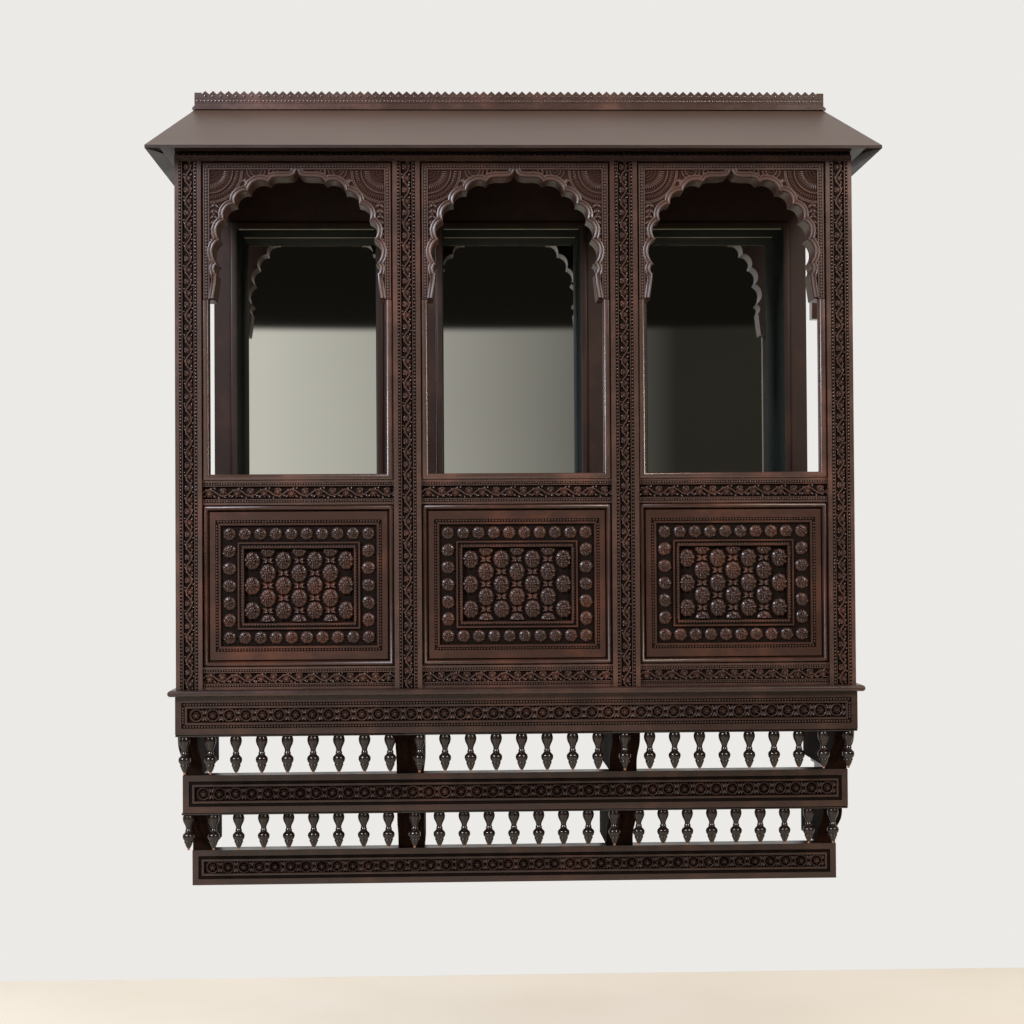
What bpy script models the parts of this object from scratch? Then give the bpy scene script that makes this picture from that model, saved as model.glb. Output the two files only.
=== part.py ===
"""Oriel window: a carved timber bay of three cusped arches that hangs on a wall.

Metres, +Z up, the wall is the plane Y = 0 and the front faces -Y. The origin is on the back of the
middle mirror box, MOUNT_HEIGHT above the bottom of the lowest tier.
"""
import math

import bmesh
import bpy
from mathutils import Matrix, Vector

# Fits
GAP = 0.0003                    # clearance that touching pieces keep
MOUNT_HEIGHT = 1.300            # wall mount above the bottom of the lowest tier

# Body in plan
BODY_WIDTH = 1.840              # over the outer posts
BODY_DEPTH = 0.500              # wall to the post faces
BAY_COUNT = 3
OUTER_POST_WIDTH = 0.071
INNER_POST_WIDTH = 0.074
POST_DEPTH = 0.060
SIDE_THICKNESS = 0.022          # boards of the side returns

# Heights of the courses, from the bottom up
TIER_HEIGHTS = (0.102, 0.103, 0.098)        # upper, middle, lower
PENDANT_GAPS = (0.1247, 0.1235)             # under the upper and the middle tier
LEDGE_THICKNESS = 0.017
BOTTOM_RAIL_HEIGHT = 0.060
PANEL_HEIGHT = 0.437
SILL_RAIL_HEIGHT = 0.066
MOULDING_WIDTH = 0.020          # jamb and sill mouldings of the openings
SILL_MOULDING_HEIGHT = 0.017
JAMB_HEIGHT = 0.4716            # sill to the feet of the arches
ARCH_HEIGHT = 0.3759
HEADER_HEIGHT = 0.055

# Tiers
TIER_OVERHANGS = (0.001, 0.0, -0.008)       # past the sides of the body
TIER_DEPTHS = (0.510, 0.380, 0.250)
TIER_BOARD = 0.020
TIER_TOP_RAIL = 0.055           # front to back of the top rail of the open tiers
TIER_END_RAIL = 0.030           # the same at the ends
LEDGE_OVERHANG = 0.018          # past the upper tier
LEDGE_ROUNDING = 0.46           # of its thickness

# Roof
EAVE_OVERHANG_FRONT = 0.075
EAVE_OVERHANG_SIDE = 0.068
ROOF_RISE = 0.184
ROOF_BOARD = 0.008              # measured upright
SIDE_BOARD = 0.030              # measured level
RIDGE_DEPTH = 0.185             # wall to the front edge of the flat top
RIDGE_INSET = 0.012             # ends of the flat top inside the sides of the body
SOFFIT_BOARD = 0.007
FRIEZE_FILLET = 0.29            # plain fillet under the frieze, as a share of the header
FRIEZE_SHARE = 0.20             # sunk frieze between the fillet and the plain fascia
FRIEZE_RECESS = 0.012

# Cresting
TOOTH_COUNT = 80
TOOTH_HEIGHT = 0.010
CREST_END_BLOCK = 0.020
CREST_HEIGHT = 0.044
CREST_THICKNESS = 0.020
FILLET_HEIGHT = 0.005
FILLET_STEP = 0.003

# Arches
ARCH_SETBACK = 0.005            # behind the post faces
ARCH_THICKNESS = 0.085
CUSP_HEIGHT = 0.3715            # height that the cusps are shares of
ROLL_WIDTH = 0.009
ROLL_PROUD = 0.004
ROLL_CENTRE = 0.30              # height that the roll widens from, as a share of the arch
ROLL_END = 0.15                 # lowest height of the roll
ARC_STEPS = 4                   # straight pieces in a lobe
LOBE_RISE = 0.27                # lobe depth as a share of its chord
SIDE_ARCH_WIDTH = 0.96          # side arch as a share of the space between the stiles

# Carved boards
CARVED_SETBACK = 0.010          # rails behind the post faces
RAIL_THICKNESS = 0.030
CHANNEL_EDGE = 0.012            # plain edge of a carved band
CHANNEL_DEPTH = 0.003
PANEL_SETBACK = 0.018
PANEL_THICKNESS = 0.026
PANEL_MOULDING = 0.016
PANEL_FLAT = 0.016
PANEL_BEAD_STRIP = 0.011
PANEL_BORDER = 0.052
PANEL_INNER_STRIP = 0.012
PANEL_FILLET = 0.006
MOULDING_PROUD = 0.009
FIELD_DEPTH = 0.012
FIELD_EDGE = 0.001              # slope of the field's sides
ROSETTE_RADIUS = 0.0215
ROSETTE_STRETCH = 1.15          # height over width
ROSETTE_TOP = 0.55              # its flat top as a share of its foot
ROSETTE_RISE = 0.002            # its top in front of the border
ROSETTE_MARGIN = 2.1            # its width with a gap beside it, in radii
ROSETTE_ROWS = 5
ROSETTE_COLUMNS = 4
ROSETTE_SIDES = 6

# Pendants
PENDANT_COUNTS = (9, 8, 10)     # on each of a row's three battens
# First and last pendant of each batten, as shares of the tier's half width, upper row and lower row
PENDANT_SPANS = (((-0.976, -0.376), (-0.290, 0.235), (0.314, 0.976)),
                 ((-0.986, -0.387), (-0.309, 0.215), (0.294, 0.958)))
PENDANT_LENGTHS = (0.102, 0.098)            # upper row and lower row
PENDANT_SIDES = 6
PENDANT_RADIUS = 0.0165
PENDANT_SETBACK = 0.020         # axis behind the tier's face
BATTEN_HEIGHT = 0.006
BATTEN_WIDTH = 0.034

# Consoles
CONSOLE_WIDTH = 0.075
END_CONSOLE_WIDTH = 0.052
CONSOLE_CLEARANCE = 0.003       # console nose behind the battens
CONSOLE_LIP = 0.16              # straight nose and toe, as a share of the height
CONSOLE_SWAY = 0.10             # how far the curve swings off the straight line
CONSOLE_STEPS = 7

# Side boards
SIDE_MARGIN = 0.030             # each of the two flat borders
SIDE_STEP = 0.004               # each step down between them

# Back frame and the deep boxes that hold the mirrors
BACK_FRAME_MARGIN = 0.0635      # ends of the frame inside the sides of the body
BACK_FRAME_DEPTH = 0.165        # wall to the face of the frame
BACK_FRAME_THICKNESS = 0.020
MIRROR_BOX_WALL = 0.021
MIRROR_BOX_FLOOR = 0.012
MIRROR_BOX_PROUD = 0.007        # its rounded rim in front of the frame
MIRROR_MARGIN = 0.0598          # mirror's edge inside the bay's post
MIRROR_THICKNESS = 0.004
MIRROR_TOP_HEIGHT = 0.7195      # top edge of the mirrors above the sill
CEILING_THICKNESS = 0.012
RIM_ROUNDING = 0.9              # rounding of the boxes' rims, as a share of how proud they stand
JAMB_ROUNDING = 0.36            # rounding of the opening mouldings, as a share of their width

# Worked out from the sizes above
HALF_BODY = BODY_WIDTH / 2
TIER_HALF_WIDTHS = [HALF_BODY + overhang for overhang in TIER_OVERHANGS]
RIDGE_HALF_WIDTH = HALF_BODY - RIDGE_INSET
BAY_CLEAR = (BODY_WIDTH - 2 * OUTER_POST_WIDTH - (BAY_COUNT - 1) * INNER_POST_WIDTH) / BAY_COUNT
BAY_PITCH = BAY_CLEAR + INNER_POST_WIDTH
BAY_CENTRES = [(index - (BAY_COUNT - 1) / 2) * BAY_PITCH for index in range(BAY_COUNT)]
POST_CENTRES = [(index - (BAY_COUNT - 2) / 2) * BAY_PITCH for index in range(BAY_COUNT - 1)]

TIER_3_BOTTOM = -MOUNT_HEIGHT
TIER_3_TOP = TIER_3_BOTTOM + TIER_HEIGHTS[2]
TIER_2_BOTTOM = TIER_3_TOP + PENDANT_GAPS[1]
TIER_2_TOP = TIER_2_BOTTOM + TIER_HEIGHTS[1]
TIER_1_BOTTOM = TIER_2_TOP + PENDANT_GAPS[0]
TIER_1_TOP = TIER_1_BOTTOM + TIER_HEIGHTS[0]
TIER_BOTTOMS = (TIER_1_BOTTOM, TIER_2_BOTTOM, TIER_3_BOTTOM)
TIER_TOPS = (TIER_1_TOP, TIER_2_TOP, TIER_3_TOP)
BODY_BOTTOM = TIER_1_TOP + LEDGE_THICKNESS
PANEL_BOTTOM = BODY_BOTTOM + BOTTOM_RAIL_HEIGHT
SILL_RAIL_BOTTOM = PANEL_BOTTOM + PANEL_HEIGHT
SILL_BOTTOM = SILL_RAIL_BOTTOM + SILL_RAIL_HEIGHT
SILL_TOP = SILL_BOTTOM + SILL_MOULDING_HEIGHT
ARCH_BOTTOM = SILL_TOP + JAMB_HEIGHT
ARCH_TOP = ARCH_BOTTOM + ARCH_HEIGHT
HEADER_TOP = ARCH_TOP + HEADER_HEIGHT
EAVE_DEPTH = BODY_DEPTH + EAVE_OVERHANG_FRONT
EAVE_HALF_WIDTH = HALF_BODY + EAVE_OVERHANG_SIDE
ROOF_SLOPE = ROOF_RISE / (EAVE_DEPTH - RIDGE_DEPTH)
EAVE_BOTTOM = HEADER_TOP + GAP - ROOF_SLOPE * EAVE_OVERHANG_FRONT
EAVE_TOP = EAVE_BOTTOM + ROOF_BOARD
ROOF_TOP = EAVE_TOP + ROOF_RISE
SIDE_CENTRE = -(BODY_DEPTH - POST_DEPTH) / 2
SIDE_CLEAR = BODY_DEPTH - POST_DEPTH


def clear_scene():
    for old in list(bpy.data.objects):
        bpy.data.objects.remove(old, do_unlink=True)


def make_material(name, colour, roughness, metallic=0.0):
    material = bpy.data.materials.new(name)
    material.use_nodes = True
    shader = material.node_tree.nodes["Principled BSDF"]
    shader.inputs["Base Color"].default_value = (*colour, 1.0)
    shader.inputs["Roughness"].default_value = roughness
    shader.inputs["Metallic"].default_value = metallic
    material.diffuse_color = (*colour, 1.0)
    return material


def add_mesh_object(name, mesh_data, material):
    """Put a bmesh in the oriel's collection as a named object with its own material."""
    bmesh.ops.recalc_face_normals(mesh_data, faces=mesh_data.faces)
    mesh = bpy.data.meshes.new(name)
    mesh_data.to_mesh(mesh)
    mesh_data.free()
    mesh.materials.append(material)
    piece = bpy.data.objects.new(name, mesh)
    bpy.data.collections["oriel_window"].objects.link(piece)
    return piece


def box_bmesh(low, high):
    low = Vector(low)
    high = Vector(high)
    mesh_data = bmesh.new()
    bmesh.ops.create_cube(mesh_data, size=1.0)
    bmesh.ops.scale(mesh_data, vec=high - low, verts=mesh_data.verts)
    bmesh.ops.translate(mesh_data, vec=(high + low) / 2, verts=mesh_data.verts)
    return mesh_data


def add_box(name, low, high, material):
    return add_mesh_object(name, box_bmesh(low, high), material)


def face_towards(mesh_data, direction):
    """The flat face that lies furthest out in a direction."""
    direction = Vector(direction)
    mesh_data.normal_update()
    facing = [face for face in mesh_data.faces if face.normal.dot(direction) > 0.99]
    return max(facing, key=lambda face: face.calc_center_median().dot(direction))


def step_in(mesh_data, face, steps):
    """Inset a face ring by ring: each step is a width and how far it comes out or sinks."""
    for width, rise in steps:
        bmesh.ops.inset_region(mesh_data, faces=[face], thickness=width, depth=rise, use_even_offset=True)
    return face


def outline_bmesh(points, thickness):
    """A flat outline in the XY plane, made solid to either side of it."""
    curve = bpy.data.curves.new("outline", "CURVE")
    curve.dimensions = "2D"
    curve.fill_mode = "BOTH"
    curve.extrude = thickness / 2
    spline = curve.splines.new("POLY")
    spline.points.add(len(points) - 1)
    for point, (x, y) in zip(spline.points, points):
        point.co = (x, y, 0.0, 1.0)
    spline.use_cyclic_u = True
    holder = bpy.data.objects.new("outline", curve)
    bpy.context.scene.collection.objects.link(holder)
    depsgraph = bpy.context.evaluated_depsgraph_get()
    mesh = bpy.data.meshes.new_from_object(holder.evaluated_get(depsgraph))
    mesh_data = bmesh.new()
    mesh_data.from_mesh(mesh)
    bmesh.ops.remove_doubles(mesh_data, verts=mesh_data.verts, dist=0.00001)
    bpy.data.objects.remove(holder, do_unlink=True)
    bpy.data.curves.remove(curve)
    bpy.data.meshes.remove(mesh)
    return mesh_data


# An outline's x and y become world X and Z, with its thickness along Y.
FACING_FRONT = Matrix.Rotation(math.radians(90), 4, "X")
# An outline's x and y become world Y and Z, with its thickness along X.
FACING_SIDE = Matrix.Rotation(math.radians(90), 4, "Z") @ Matrix.Rotation(math.radians(90), 4, "X")


def add_plate(name, points, front, back, material):
    """An outline in X and Z, as thick as from its front to its back along Y."""
    mesh_data = outline_bmesh(points, back - front)
    bmesh.ops.transform(mesh_data, matrix=FACING_FRONT, verts=mesh_data.verts)
    bmesh.ops.translate(mesh_data, vec=(0, (front + back) / 2, 0), verts=mesh_data.verts)
    return add_mesh_object(name, mesh_data, material)


def side_plate_bmesh(points, left, right):
    """An outline in Y and Z, as thick as from left to right along X."""
    mesh_data = outline_bmesh(points, right - left)
    bmesh.ops.transform(mesh_data, matrix=FACING_SIDE, verts=mesh_data.verts)
    bmesh.ops.translate(mesh_data, vec=((left + right) / 2, 0, 0), verts=mesh_data.verts)
    return mesh_data


def cut_away(mesh_data, point, outward):
    """Cut on a plane, drop what is outward of it and close the cut."""
    everything = mesh_data.verts[:] + mesh_data.edges[:] + mesh_data.faces[:]
    bmesh.ops.bisect_plane(mesh_data, geom=everything, plane_co=point, plane_no=outward, clear_outer=True)
    rim = [edge for edge in mesh_data.edges if edge.is_boundary]
    bmesh.ops.holes_fill(mesh_data, edges=rim, sides=0)


def combine(target, extras, operation):
    """Boolean of one object, which keeps its name, with others: UNION joins, DIFFERENCE cuts."""
    collection = bpy.data.collections.new("combining")
    for extra in extras:
        for owner in list(extra.users_collection):
            owner.objects.unlink(extra)
        collection.objects.link(extra)
    bpy.context.scene.collection.children.link(collection)
    modifier = target.modifiers.new("combine", "BOOLEAN")
    modifier.operand_type = "COLLECTION"
    modifier.collection = collection
    modifier.operation = operation
    modifier.solver = "EXACT"
    depsgraph = bpy.context.evaluated_depsgraph_get()
    combined = bpy.data.meshes.new_from_object(target.evaluated_get(depsgraph))
    target.modifiers.remove(modifier)
    old = target.data
    target.data = combined
    bpy.data.meshes.remove(old)
    for extra in extras:
        bpy.data.objects.remove(extra, do_unlink=True)
    bpy.data.collections.remove(collection)


def arc_between(start, end, rise):
    """Points on the arc from start to end, bulging to its left by a share of the chord, end left out."""
    start = Vector(start)
    end = Vector(end)
    chord = end - start
    normal = Vector((-chord.y, chord.x))
    half_angle = 2 * math.atan(2 * rise)
    points = []
    for step in range(ARC_STEPS):
        share = step / ARC_STEPS
        angle = half_angle * (2 * share - 1)
        along = 0.5 + math.sin(angle) / (2 * math.sin(half_angle))
        out = (math.cos(angle) - math.cos(half_angle)) / (2 * math.sin(half_angle))
        points.append(tuple(start + chord * along + normal * out))
    return points


def cusp_half(half_width, height):
    """Right half of a cusped arch from the apex down to its foot, heights from the foot.

    The cusp tips stand on this list of shares of the half width and the height.
    """
    tips = ((0.300, 0.861), (0.509, 0.794), (0.648, 0.700), (0.757, 0.582), (0.805, 0.440), (0.824, 0.263),
            (0.838, 0.185))
    ogee = ((0.0, 0.948), (0.019, 0.921), (0.054, 0.903), (0.116, 0.897), (0.213, 0.897), (0.263, 0.890))
    points = [(x * half_width, y * height) for x, y in ogee]
    scaled = [(x * half_width, y * height) for x, y in tips]
    for start, end in zip(scaled, scaled[1:]):
        points += arc_between(start, end, LOBE_RISE)
    points.append(scaled[-1])
    points.append((0.852 * half_width, 0.09 * height))
    points.append((0.870 * half_width, 0.0))
    return points


def mirrored(half):
    """A half outline from the apex to the right foot, made whole from the left foot to the right."""
    left = [(-x, y) for x, y in reversed(half[1:])]
    return left + half


def add_arch(name, centre, half_width, bottom, front, thickness, material):
    """A cusped panel with a roll that follows its cusps."""
    height = ARCH_HEIGHT - GAP
    cusps = mirrored(cusp_half(half_width, CUSP_HEIGHT))
    outer = half_width - GAP
    outline = [(x + centre, y + bottom) for x, y in cusps]
    outline += [(centre + outer, bottom), (centre + outer, bottom + height)]
    outline += [(centre - outer, bottom + height), (centre - outer, bottom)]
    panel = add_plate(name, outline, front, front + thickness, material)
    grow = 1 + ROLL_WIDTH / half_width
    hub = height * ROLL_CENTRE
    inner_edge = [(x, y) for x, y in cusps if y > height * ROLL_END]
    outer_edge = [(x * grow, hub + (y - hub) * grow) for x, y in reversed(inner_edge)]
    band = [(x + centre, y + bottom) for x, y in inner_edge + outer_edge]
    roll = add_plate(name + "_roll", band, front - ROLL_PROUD, front + ROLL_PROUD, material)
    combine(panel, [roll], "UNION")


def add_carved_board(name, low, high, direction, material):
    """A board with a sunk band on its face, inside a plain edge."""
    mesh_data = box_bmesh(low, high)
    face = face_towards(mesh_data, direction)
    step_in(mesh_data, face, ((CHANNEL_EDGE, 0.0), (CHANNEL_DEPTH, -CHANNEL_DEPTH)))
    return add_mesh_object(name, mesh_data, material)


def build_roof(material):
    ridge_front = -RIDGE_DEPTH
    half_rise_x = EAVE_HALF_WIDTH - RIDGE_HALF_WIDTH
    run = EAVE_DEPTH - RIDGE_DEPTH
    section = [(-EAVE_DEPTH, EAVE_BOTTOM), (-EAVE_DEPTH, EAVE_TOP), (ridge_front, ROOF_TOP), (0, ROOF_TOP),
               (0, ROOF_TOP - ROOF_BOARD), (ridge_front, ROOF_TOP - ROOF_BOARD)]
    front = side_plate_bmesh(section, -EAVE_HALF_WIDTH, EAVE_HALF_WIDTH)
    for side in (-1, 1):
        corner = Vector((side * (EAVE_HALF_WIDTH - GAP / 2), -EAVE_DEPTH, 0))
        outward = Vector((side * run, half_rise_x, 0)).normalized()
        cut_away(front, corner, outward)
    add_mesh_object("roof_front", front, material)
    for side, word in ((-1, "left"), (1, "right")):
        inner = EAVE_HALF_WIDTH - SIDE_BOARD
        section = [(EAVE_HALF_WIDTH, EAVE_BOTTOM), (EAVE_HALF_WIDTH, EAVE_TOP), (RIDGE_HALF_WIDTH, ROOF_TOP),
                   (RIDGE_HALF_WIDTH - SIDE_BOARD, ROOF_TOP), (inner, EAVE_TOP + ROOF_SLOPE * SIDE_BOARD),
                   (inner, EAVE_BOTTOM + ROOF_SLOPE * SIDE_BOARD)]
        section = [(side * x, z) for x, z in section]
        board = outline_bmesh(section, EAVE_DEPTH)
        bmesh.ops.transform(board, matrix=FACING_FRONT, verts=board.verts)
        bmesh.ops.translate(board, vec=(0, -EAVE_DEPTH / 2, 0), verts=board.verts)
        corner = Vector((side * (EAVE_HALF_WIDTH + GAP / 2), -EAVE_DEPTH, 0))
        inward = Vector((-side * run, -half_rise_x, 0)).normalized()
        cut_away(board, corner, inward)
        add_mesh_object("roof_" + word, board, material)
        outer = inner - GAP
        wall = HALF_BODY + GAP
        low = EAVE_BOTTOM + ROOF_SLOPE * (EAVE_HALF_WIDTH - outer)
        high = EAVE_BOTTOM + ROOF_SLOPE * (EAVE_HALF_WIDTH - wall)
        section = [(outer, low), (wall, high), (wall, high + SOFFIT_BOARD), (outer, low + SOFFIT_BOARD)]
        section = [(side * x, z) for x, z in section]
        soffit = outline_bmesh(section, EAVE_DEPTH)
        bmesh.ops.transform(soffit, matrix=FACING_FRONT, verts=soffit.verts)
        bmesh.ops.translate(soffit, vec=(0, -EAVE_DEPTH / 2, 0), verts=soffit.verts)
        back_off = (SOFFIT_BOARD + GAP) / ROOF_SLOPE + GAP
        corner = Vector((side * EAVE_HALF_WIDTH, -EAVE_DEPTH + back_off, 0))
        cut_away(soffit, corner, Vector((-side, -1, 0)).normalized())
        add_mesh_object("soffit_" + word, soffit, material)


def build_cresting(material):
    """Saw-tooth board on two fillets, as one moulded length."""
    half = RIDGE_HALF_WIDTH
    block = half - CREST_END_BLOCK
    bottom = ROOF_TOP + GAP
    foot = bottom + 1.5 * FILLET_HEIGHT
    top = bottom + 2 * FILLET_HEIGHT + CREST_HEIGHT - TOOTH_HEIGHT
    block_top = top + TOOTH_HEIGHT / 2
    pitch = 2 * block / TOOTH_COUNT
    outline = [(half, foot), (half, block_top), (block, block_top)]
    for tooth in range(TOOTH_COUNT):
        right = block - tooth * pitch
        outline += [(right, top), (right - pitch / 2, top + TOOTH_HEIGHT)]
    outline += [(-block, top), (-block, block_top), (-half, block_top), (-half, foot)]
    front = -RIDGE_DEPTH - FILLET_STEP
    board = add_plate("cresting_board", outline, front, front + CREST_THICKNESS, material)
    fillets = []
    for index in range(2):
        grow = FILLET_STEP * (2 - index)
        low = bottom + index * (FILLET_HEIGHT - GAP)
        fillets.append(add_box("fillet", (-half - grow, front - grow, low),
                               (half + grow, front + CREST_THICKNESS, low + FILLET_HEIGHT), material))
    combine(board, fillets, "UNION")


def build_header(material):
    """Plain fillet, sunk frieze and fascia, on the front beam and on one at each side."""
    face = -BODY_DEPTH
    frieze = face + FRIEZE_RECESS
    low = ARCH_TOP + GAP
    fillet_top = low + HEADER_HEIGHT * FRIEZE_FILLET
    frieze_top = fillet_top + HEADER_HEIGHT * FRIEZE_SHARE
    section = [(face, low), (face, fillet_top), (frieze, fillet_top), (frieze, frieze_top),
               (face, frieze_top), (face, HEADER_TOP), (face + POST_DEPTH, HEADER_TOP),
               (face + POST_DEPTH, low)]
    front = side_plate_bmesh(section, -HALF_BODY, HALF_BODY)
    add_mesh_object("header_front", front, material)
    for side, word in ((-1, "left"), (1, "right")):
        outer = side * HALF_BODY
        inner = side * (HALF_BODY - SIDE_THICKNESS)
        frieze = side * (HALF_BODY - FRIEZE_RECESS)
        section = [(outer, low), (outer, fillet_top), (frieze, fillet_top), (frieze, frieze_top),
                   (outer, frieze_top), (outer, HEADER_TOP - GAP), (inner, HEADER_TOP - GAP), (inner, low)]
        length = BODY_DEPTH - POST_DEPTH - GAP
        beam = outline_bmesh(section, length)
        bmesh.ops.transform(beam, matrix=FACING_FRONT, verts=beam.verts)
        bmesh.ops.translate(beam, vec=(0, -length / 2, 0), verts=beam.verts)
        add_mesh_object("header_" + word, beam, material)
    low_z = HEADER_TOP - CEILING_THICKNESS - GAP
    add_box("ceiling_board", (-HALF_BODY + SIDE_THICKNESS + GAP, face + POST_DEPTH + GAP, low_z),
            (HALF_BODY - SIDE_THICKNESS - GAP, 0, HEADER_TOP - GAP), material)


def build_posts(material):
    """Four posts, each with a sunk carved band on its face."""
    outer = HALF_BODY - OUTER_POST_WIDTH / 2
    places = [("post_outer_left", -outer, OUTER_POST_WIDTH), ("post_outer_right", outer, OUTER_POST_WIDTH)]
    places += [("post_inner_%d" % (index + 1), centre, INNER_POST_WIDTH)
               for index, centre in enumerate(POST_CENTRES)]
    for name, centre, width in places:
        add_carved_board(name, (centre - width / 2, -BODY_DEPTH, BODY_BOTTOM + GAP),
                         (centre + width / 2, -BODY_DEPTH + POST_DEPTH, ARCH_TOP), (0, -1, 0), material)


def add_opening_moulding(name, centre, material):
    """Two jambs and a sill as one U, rounded on its front."""
    outer = BAY_CLEAR / 2 - GAP
    inner = BAY_CLEAR / 2 - MOULDING_WIDTH
    bottom = SILL_BOTTOM + GAP
    top = ARCH_BOTTOM - GAP
    right = [(outer, bottom), (outer, top), (inner, top), (inner, SILL_TOP)]
    left = [(-x, z) for x, z in reversed(right)]
    outline = [(x + centre, z) for x, z in right + left]
    front = -BODY_DEPTH + ARCH_SETBACK
    piece = add_plate(name, outline, front, front + RAIL_THICKNESS, material)
    mesh_data = bmesh.new()
    mesh_data.from_mesh(piece.data)
    rim = [edge for edge in mesh_data.edges
           if all(abs(vert.co.y - front) < 0.0001 for vert in edge.verts)
           and len(edge.link_faces) == 2
           and edge.calc_face_angle() > 1.0
           and min(vert.co.z for vert in edge.verts) < top - 0.001]
    bmesh.ops.bevel(mesh_data, geom=rim, offset=MOULDING_WIDTH * JAMB_ROUNDING, segments=2, profile=0.5,
                    affect="EDGES", material=-1)
    mesh_data.to_mesh(piece.data)
    mesh_data.free()


def add_lower_panel(name, centre, material):
    """Raised moulding, flat frame, carved border and a sunk field of rosettes."""
    face_y = -BODY_DEPTH + PANEL_SETBACK
    half = BAY_CLEAR / 2 - GAP
    mesh_data = box_bmesh((centre - half, face_y, PANEL_BOTTOM + GAP),
                          (centre + half, face_y + PANEL_THICKNESS, SILL_RAIL_BOTTOM))
    face = face_towards(mesh_data, (0, -1, 0))
    slope = PANEL_MOULDING / 4
    steps = ((slope, MOULDING_PROUD * 0.7), (slope, MOULDING_PROUD * 0.3), (slope, -MOULDING_PROUD * 0.3),
             (slope, -MOULDING_PROUD * 0.7), (PANEL_FLAT, 0.0), (CHANNEL_DEPTH, -CHANNEL_DEPTH),
             (PANEL_BEAD_STRIP - CHANNEL_DEPTH, 0.0), (PANEL_BORDER, 0.0), (PANEL_INNER_STRIP, 0.0),
             (PANEL_FILLET, 0.0), (FIELD_EDGE, -FIELD_DEPTH))
    step_in(mesh_data, face, steps)
    panel = add_mesh_object(name, mesh_data, material)
    margin = sum(width for width, rise in steps)
    field_x = 2 * (half - margin)
    field_z = PANEL_HEIGHT - 2 * margin
    middle_z = PANEL_BOTTOM + PANEL_HEIGHT / 2
    pitch_x = (field_x - ROSETTE_MARGIN * ROSETTE_RADIUS) / (ROSETTE_COLUMNS - 1)
    pitch_z = field_z / (ROSETTE_ROWS + 1)
    floor_y = face_y + CHANNEL_DEPTH + FIELD_DEPTH
    rosettes = []
    for row in range(ROSETTE_ROWS):
        count = ROSETTE_COLUMNS - row % 2
        for column in range(count):
            dome = bmesh.new()
            bmesh.ops.create_cone(dome, cap_ends=True, segments=ROSETTE_SIDES, radius1=ROSETTE_RADIUS,
                                  radius2=ROSETTE_RADIUS * ROSETTE_TOP, depth=FIELD_DEPTH)
            bmesh.ops.transform(dome, matrix=FACING_FRONT, verts=dome.verts)
            bmesh.ops.scale(dome, vec=(1, 1, ROSETTE_STRETCH), verts=dome.verts)
            place = (centre + (column - (count - 1) / 2) * pitch_x, floor_y - FIELD_DEPTH / 2 + ROSETTE_RISE,
                     middle_z + (row - (ROSETTE_ROWS - 1) / 2) * pitch_z)
            bmesh.ops.translate(dome, vec=place, verts=dome.verts)
            rosettes.append(add_mesh_object("rosette", dome, material))
    combine(panel, rosettes, "UNION")


def build_bays(material, red_material):
    half = BAY_CLEAR / 2 - GAP
    rail_face = -BODY_DEPTH + CARVED_SETBACK
    for index, centre in enumerate(BAY_CENTRES):
        number = str(index + 1)
        add_arch("arch_panel_" + number, centre, BAY_CLEAR / 2, ARCH_BOTTOM, -BODY_DEPTH + ARCH_SETBACK,
                 ARCH_THICKNESS, material)
        add_opening_moulding("opening_moulding_" + number, centre, material)
        add_carved_board("sill_rail_" + number, (centre - half, rail_face, SILL_RAIL_BOTTOM + GAP),
                         (centre + half, rail_face + RAIL_THICKNESS, SILL_BOTTOM), (0, -1, 0), material)
        add_lower_panel("lower_panel_" + number, centre, red_material)
        add_carved_board("bottom_rail_" + number, (centre - half, rail_face, BODY_BOTTOM + GAP),
                         (centre + half, rail_face + RAIL_THICKNESS, PANEL_BOTTOM), (0, -1, 0), material)


def build_sides(material, red_material):
    """Each return has a cusped arch on a front stile, open down to the wall, over a panelled board."""
    for side, word in ((-1, "left"), (1, "right")):
        outer = HALF_BODY
        inner = HALF_BODY - SIDE_THICKNESS
        left, right = sorted((side * outer, side * inner))
        front = -SIDE_CLEAR + GAP
        half = SIDE_CLEAR / 2 - GAP
        cusps = mirrored(cusp_half(half * SIDE_ARCH_WIDTH, CUSP_HEIGHT))
        outline = [(y + SIDE_CENTRE, z + ARCH_BOTTOM) for y, z in cusps]
        front_foot = outline[0][0]
        outline += [(0, ARCH_BOTTOM), (0, ARCH_TOP), (front, ARCH_TOP), (front, SILL_TOP + GAP),
                    (front_foot, SILL_TOP + GAP)]
        frame = side_plate_bmesh(outline, left, right)
        add_mesh_object("side_frame_" + word, frame, material)
        board = box_bmesh((left, front, BODY_BOTTOM + GAP), (right, 0, SILL_TOP))
        face = face_towards(board, (side, 0, 0))
        step_in(board, face, ((SIDE_MARGIN, 0.0), (SIDE_STEP, -SIDE_STEP)) * 2)
        add_mesh_object("side_panel_" + word, board, red_material)


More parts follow.
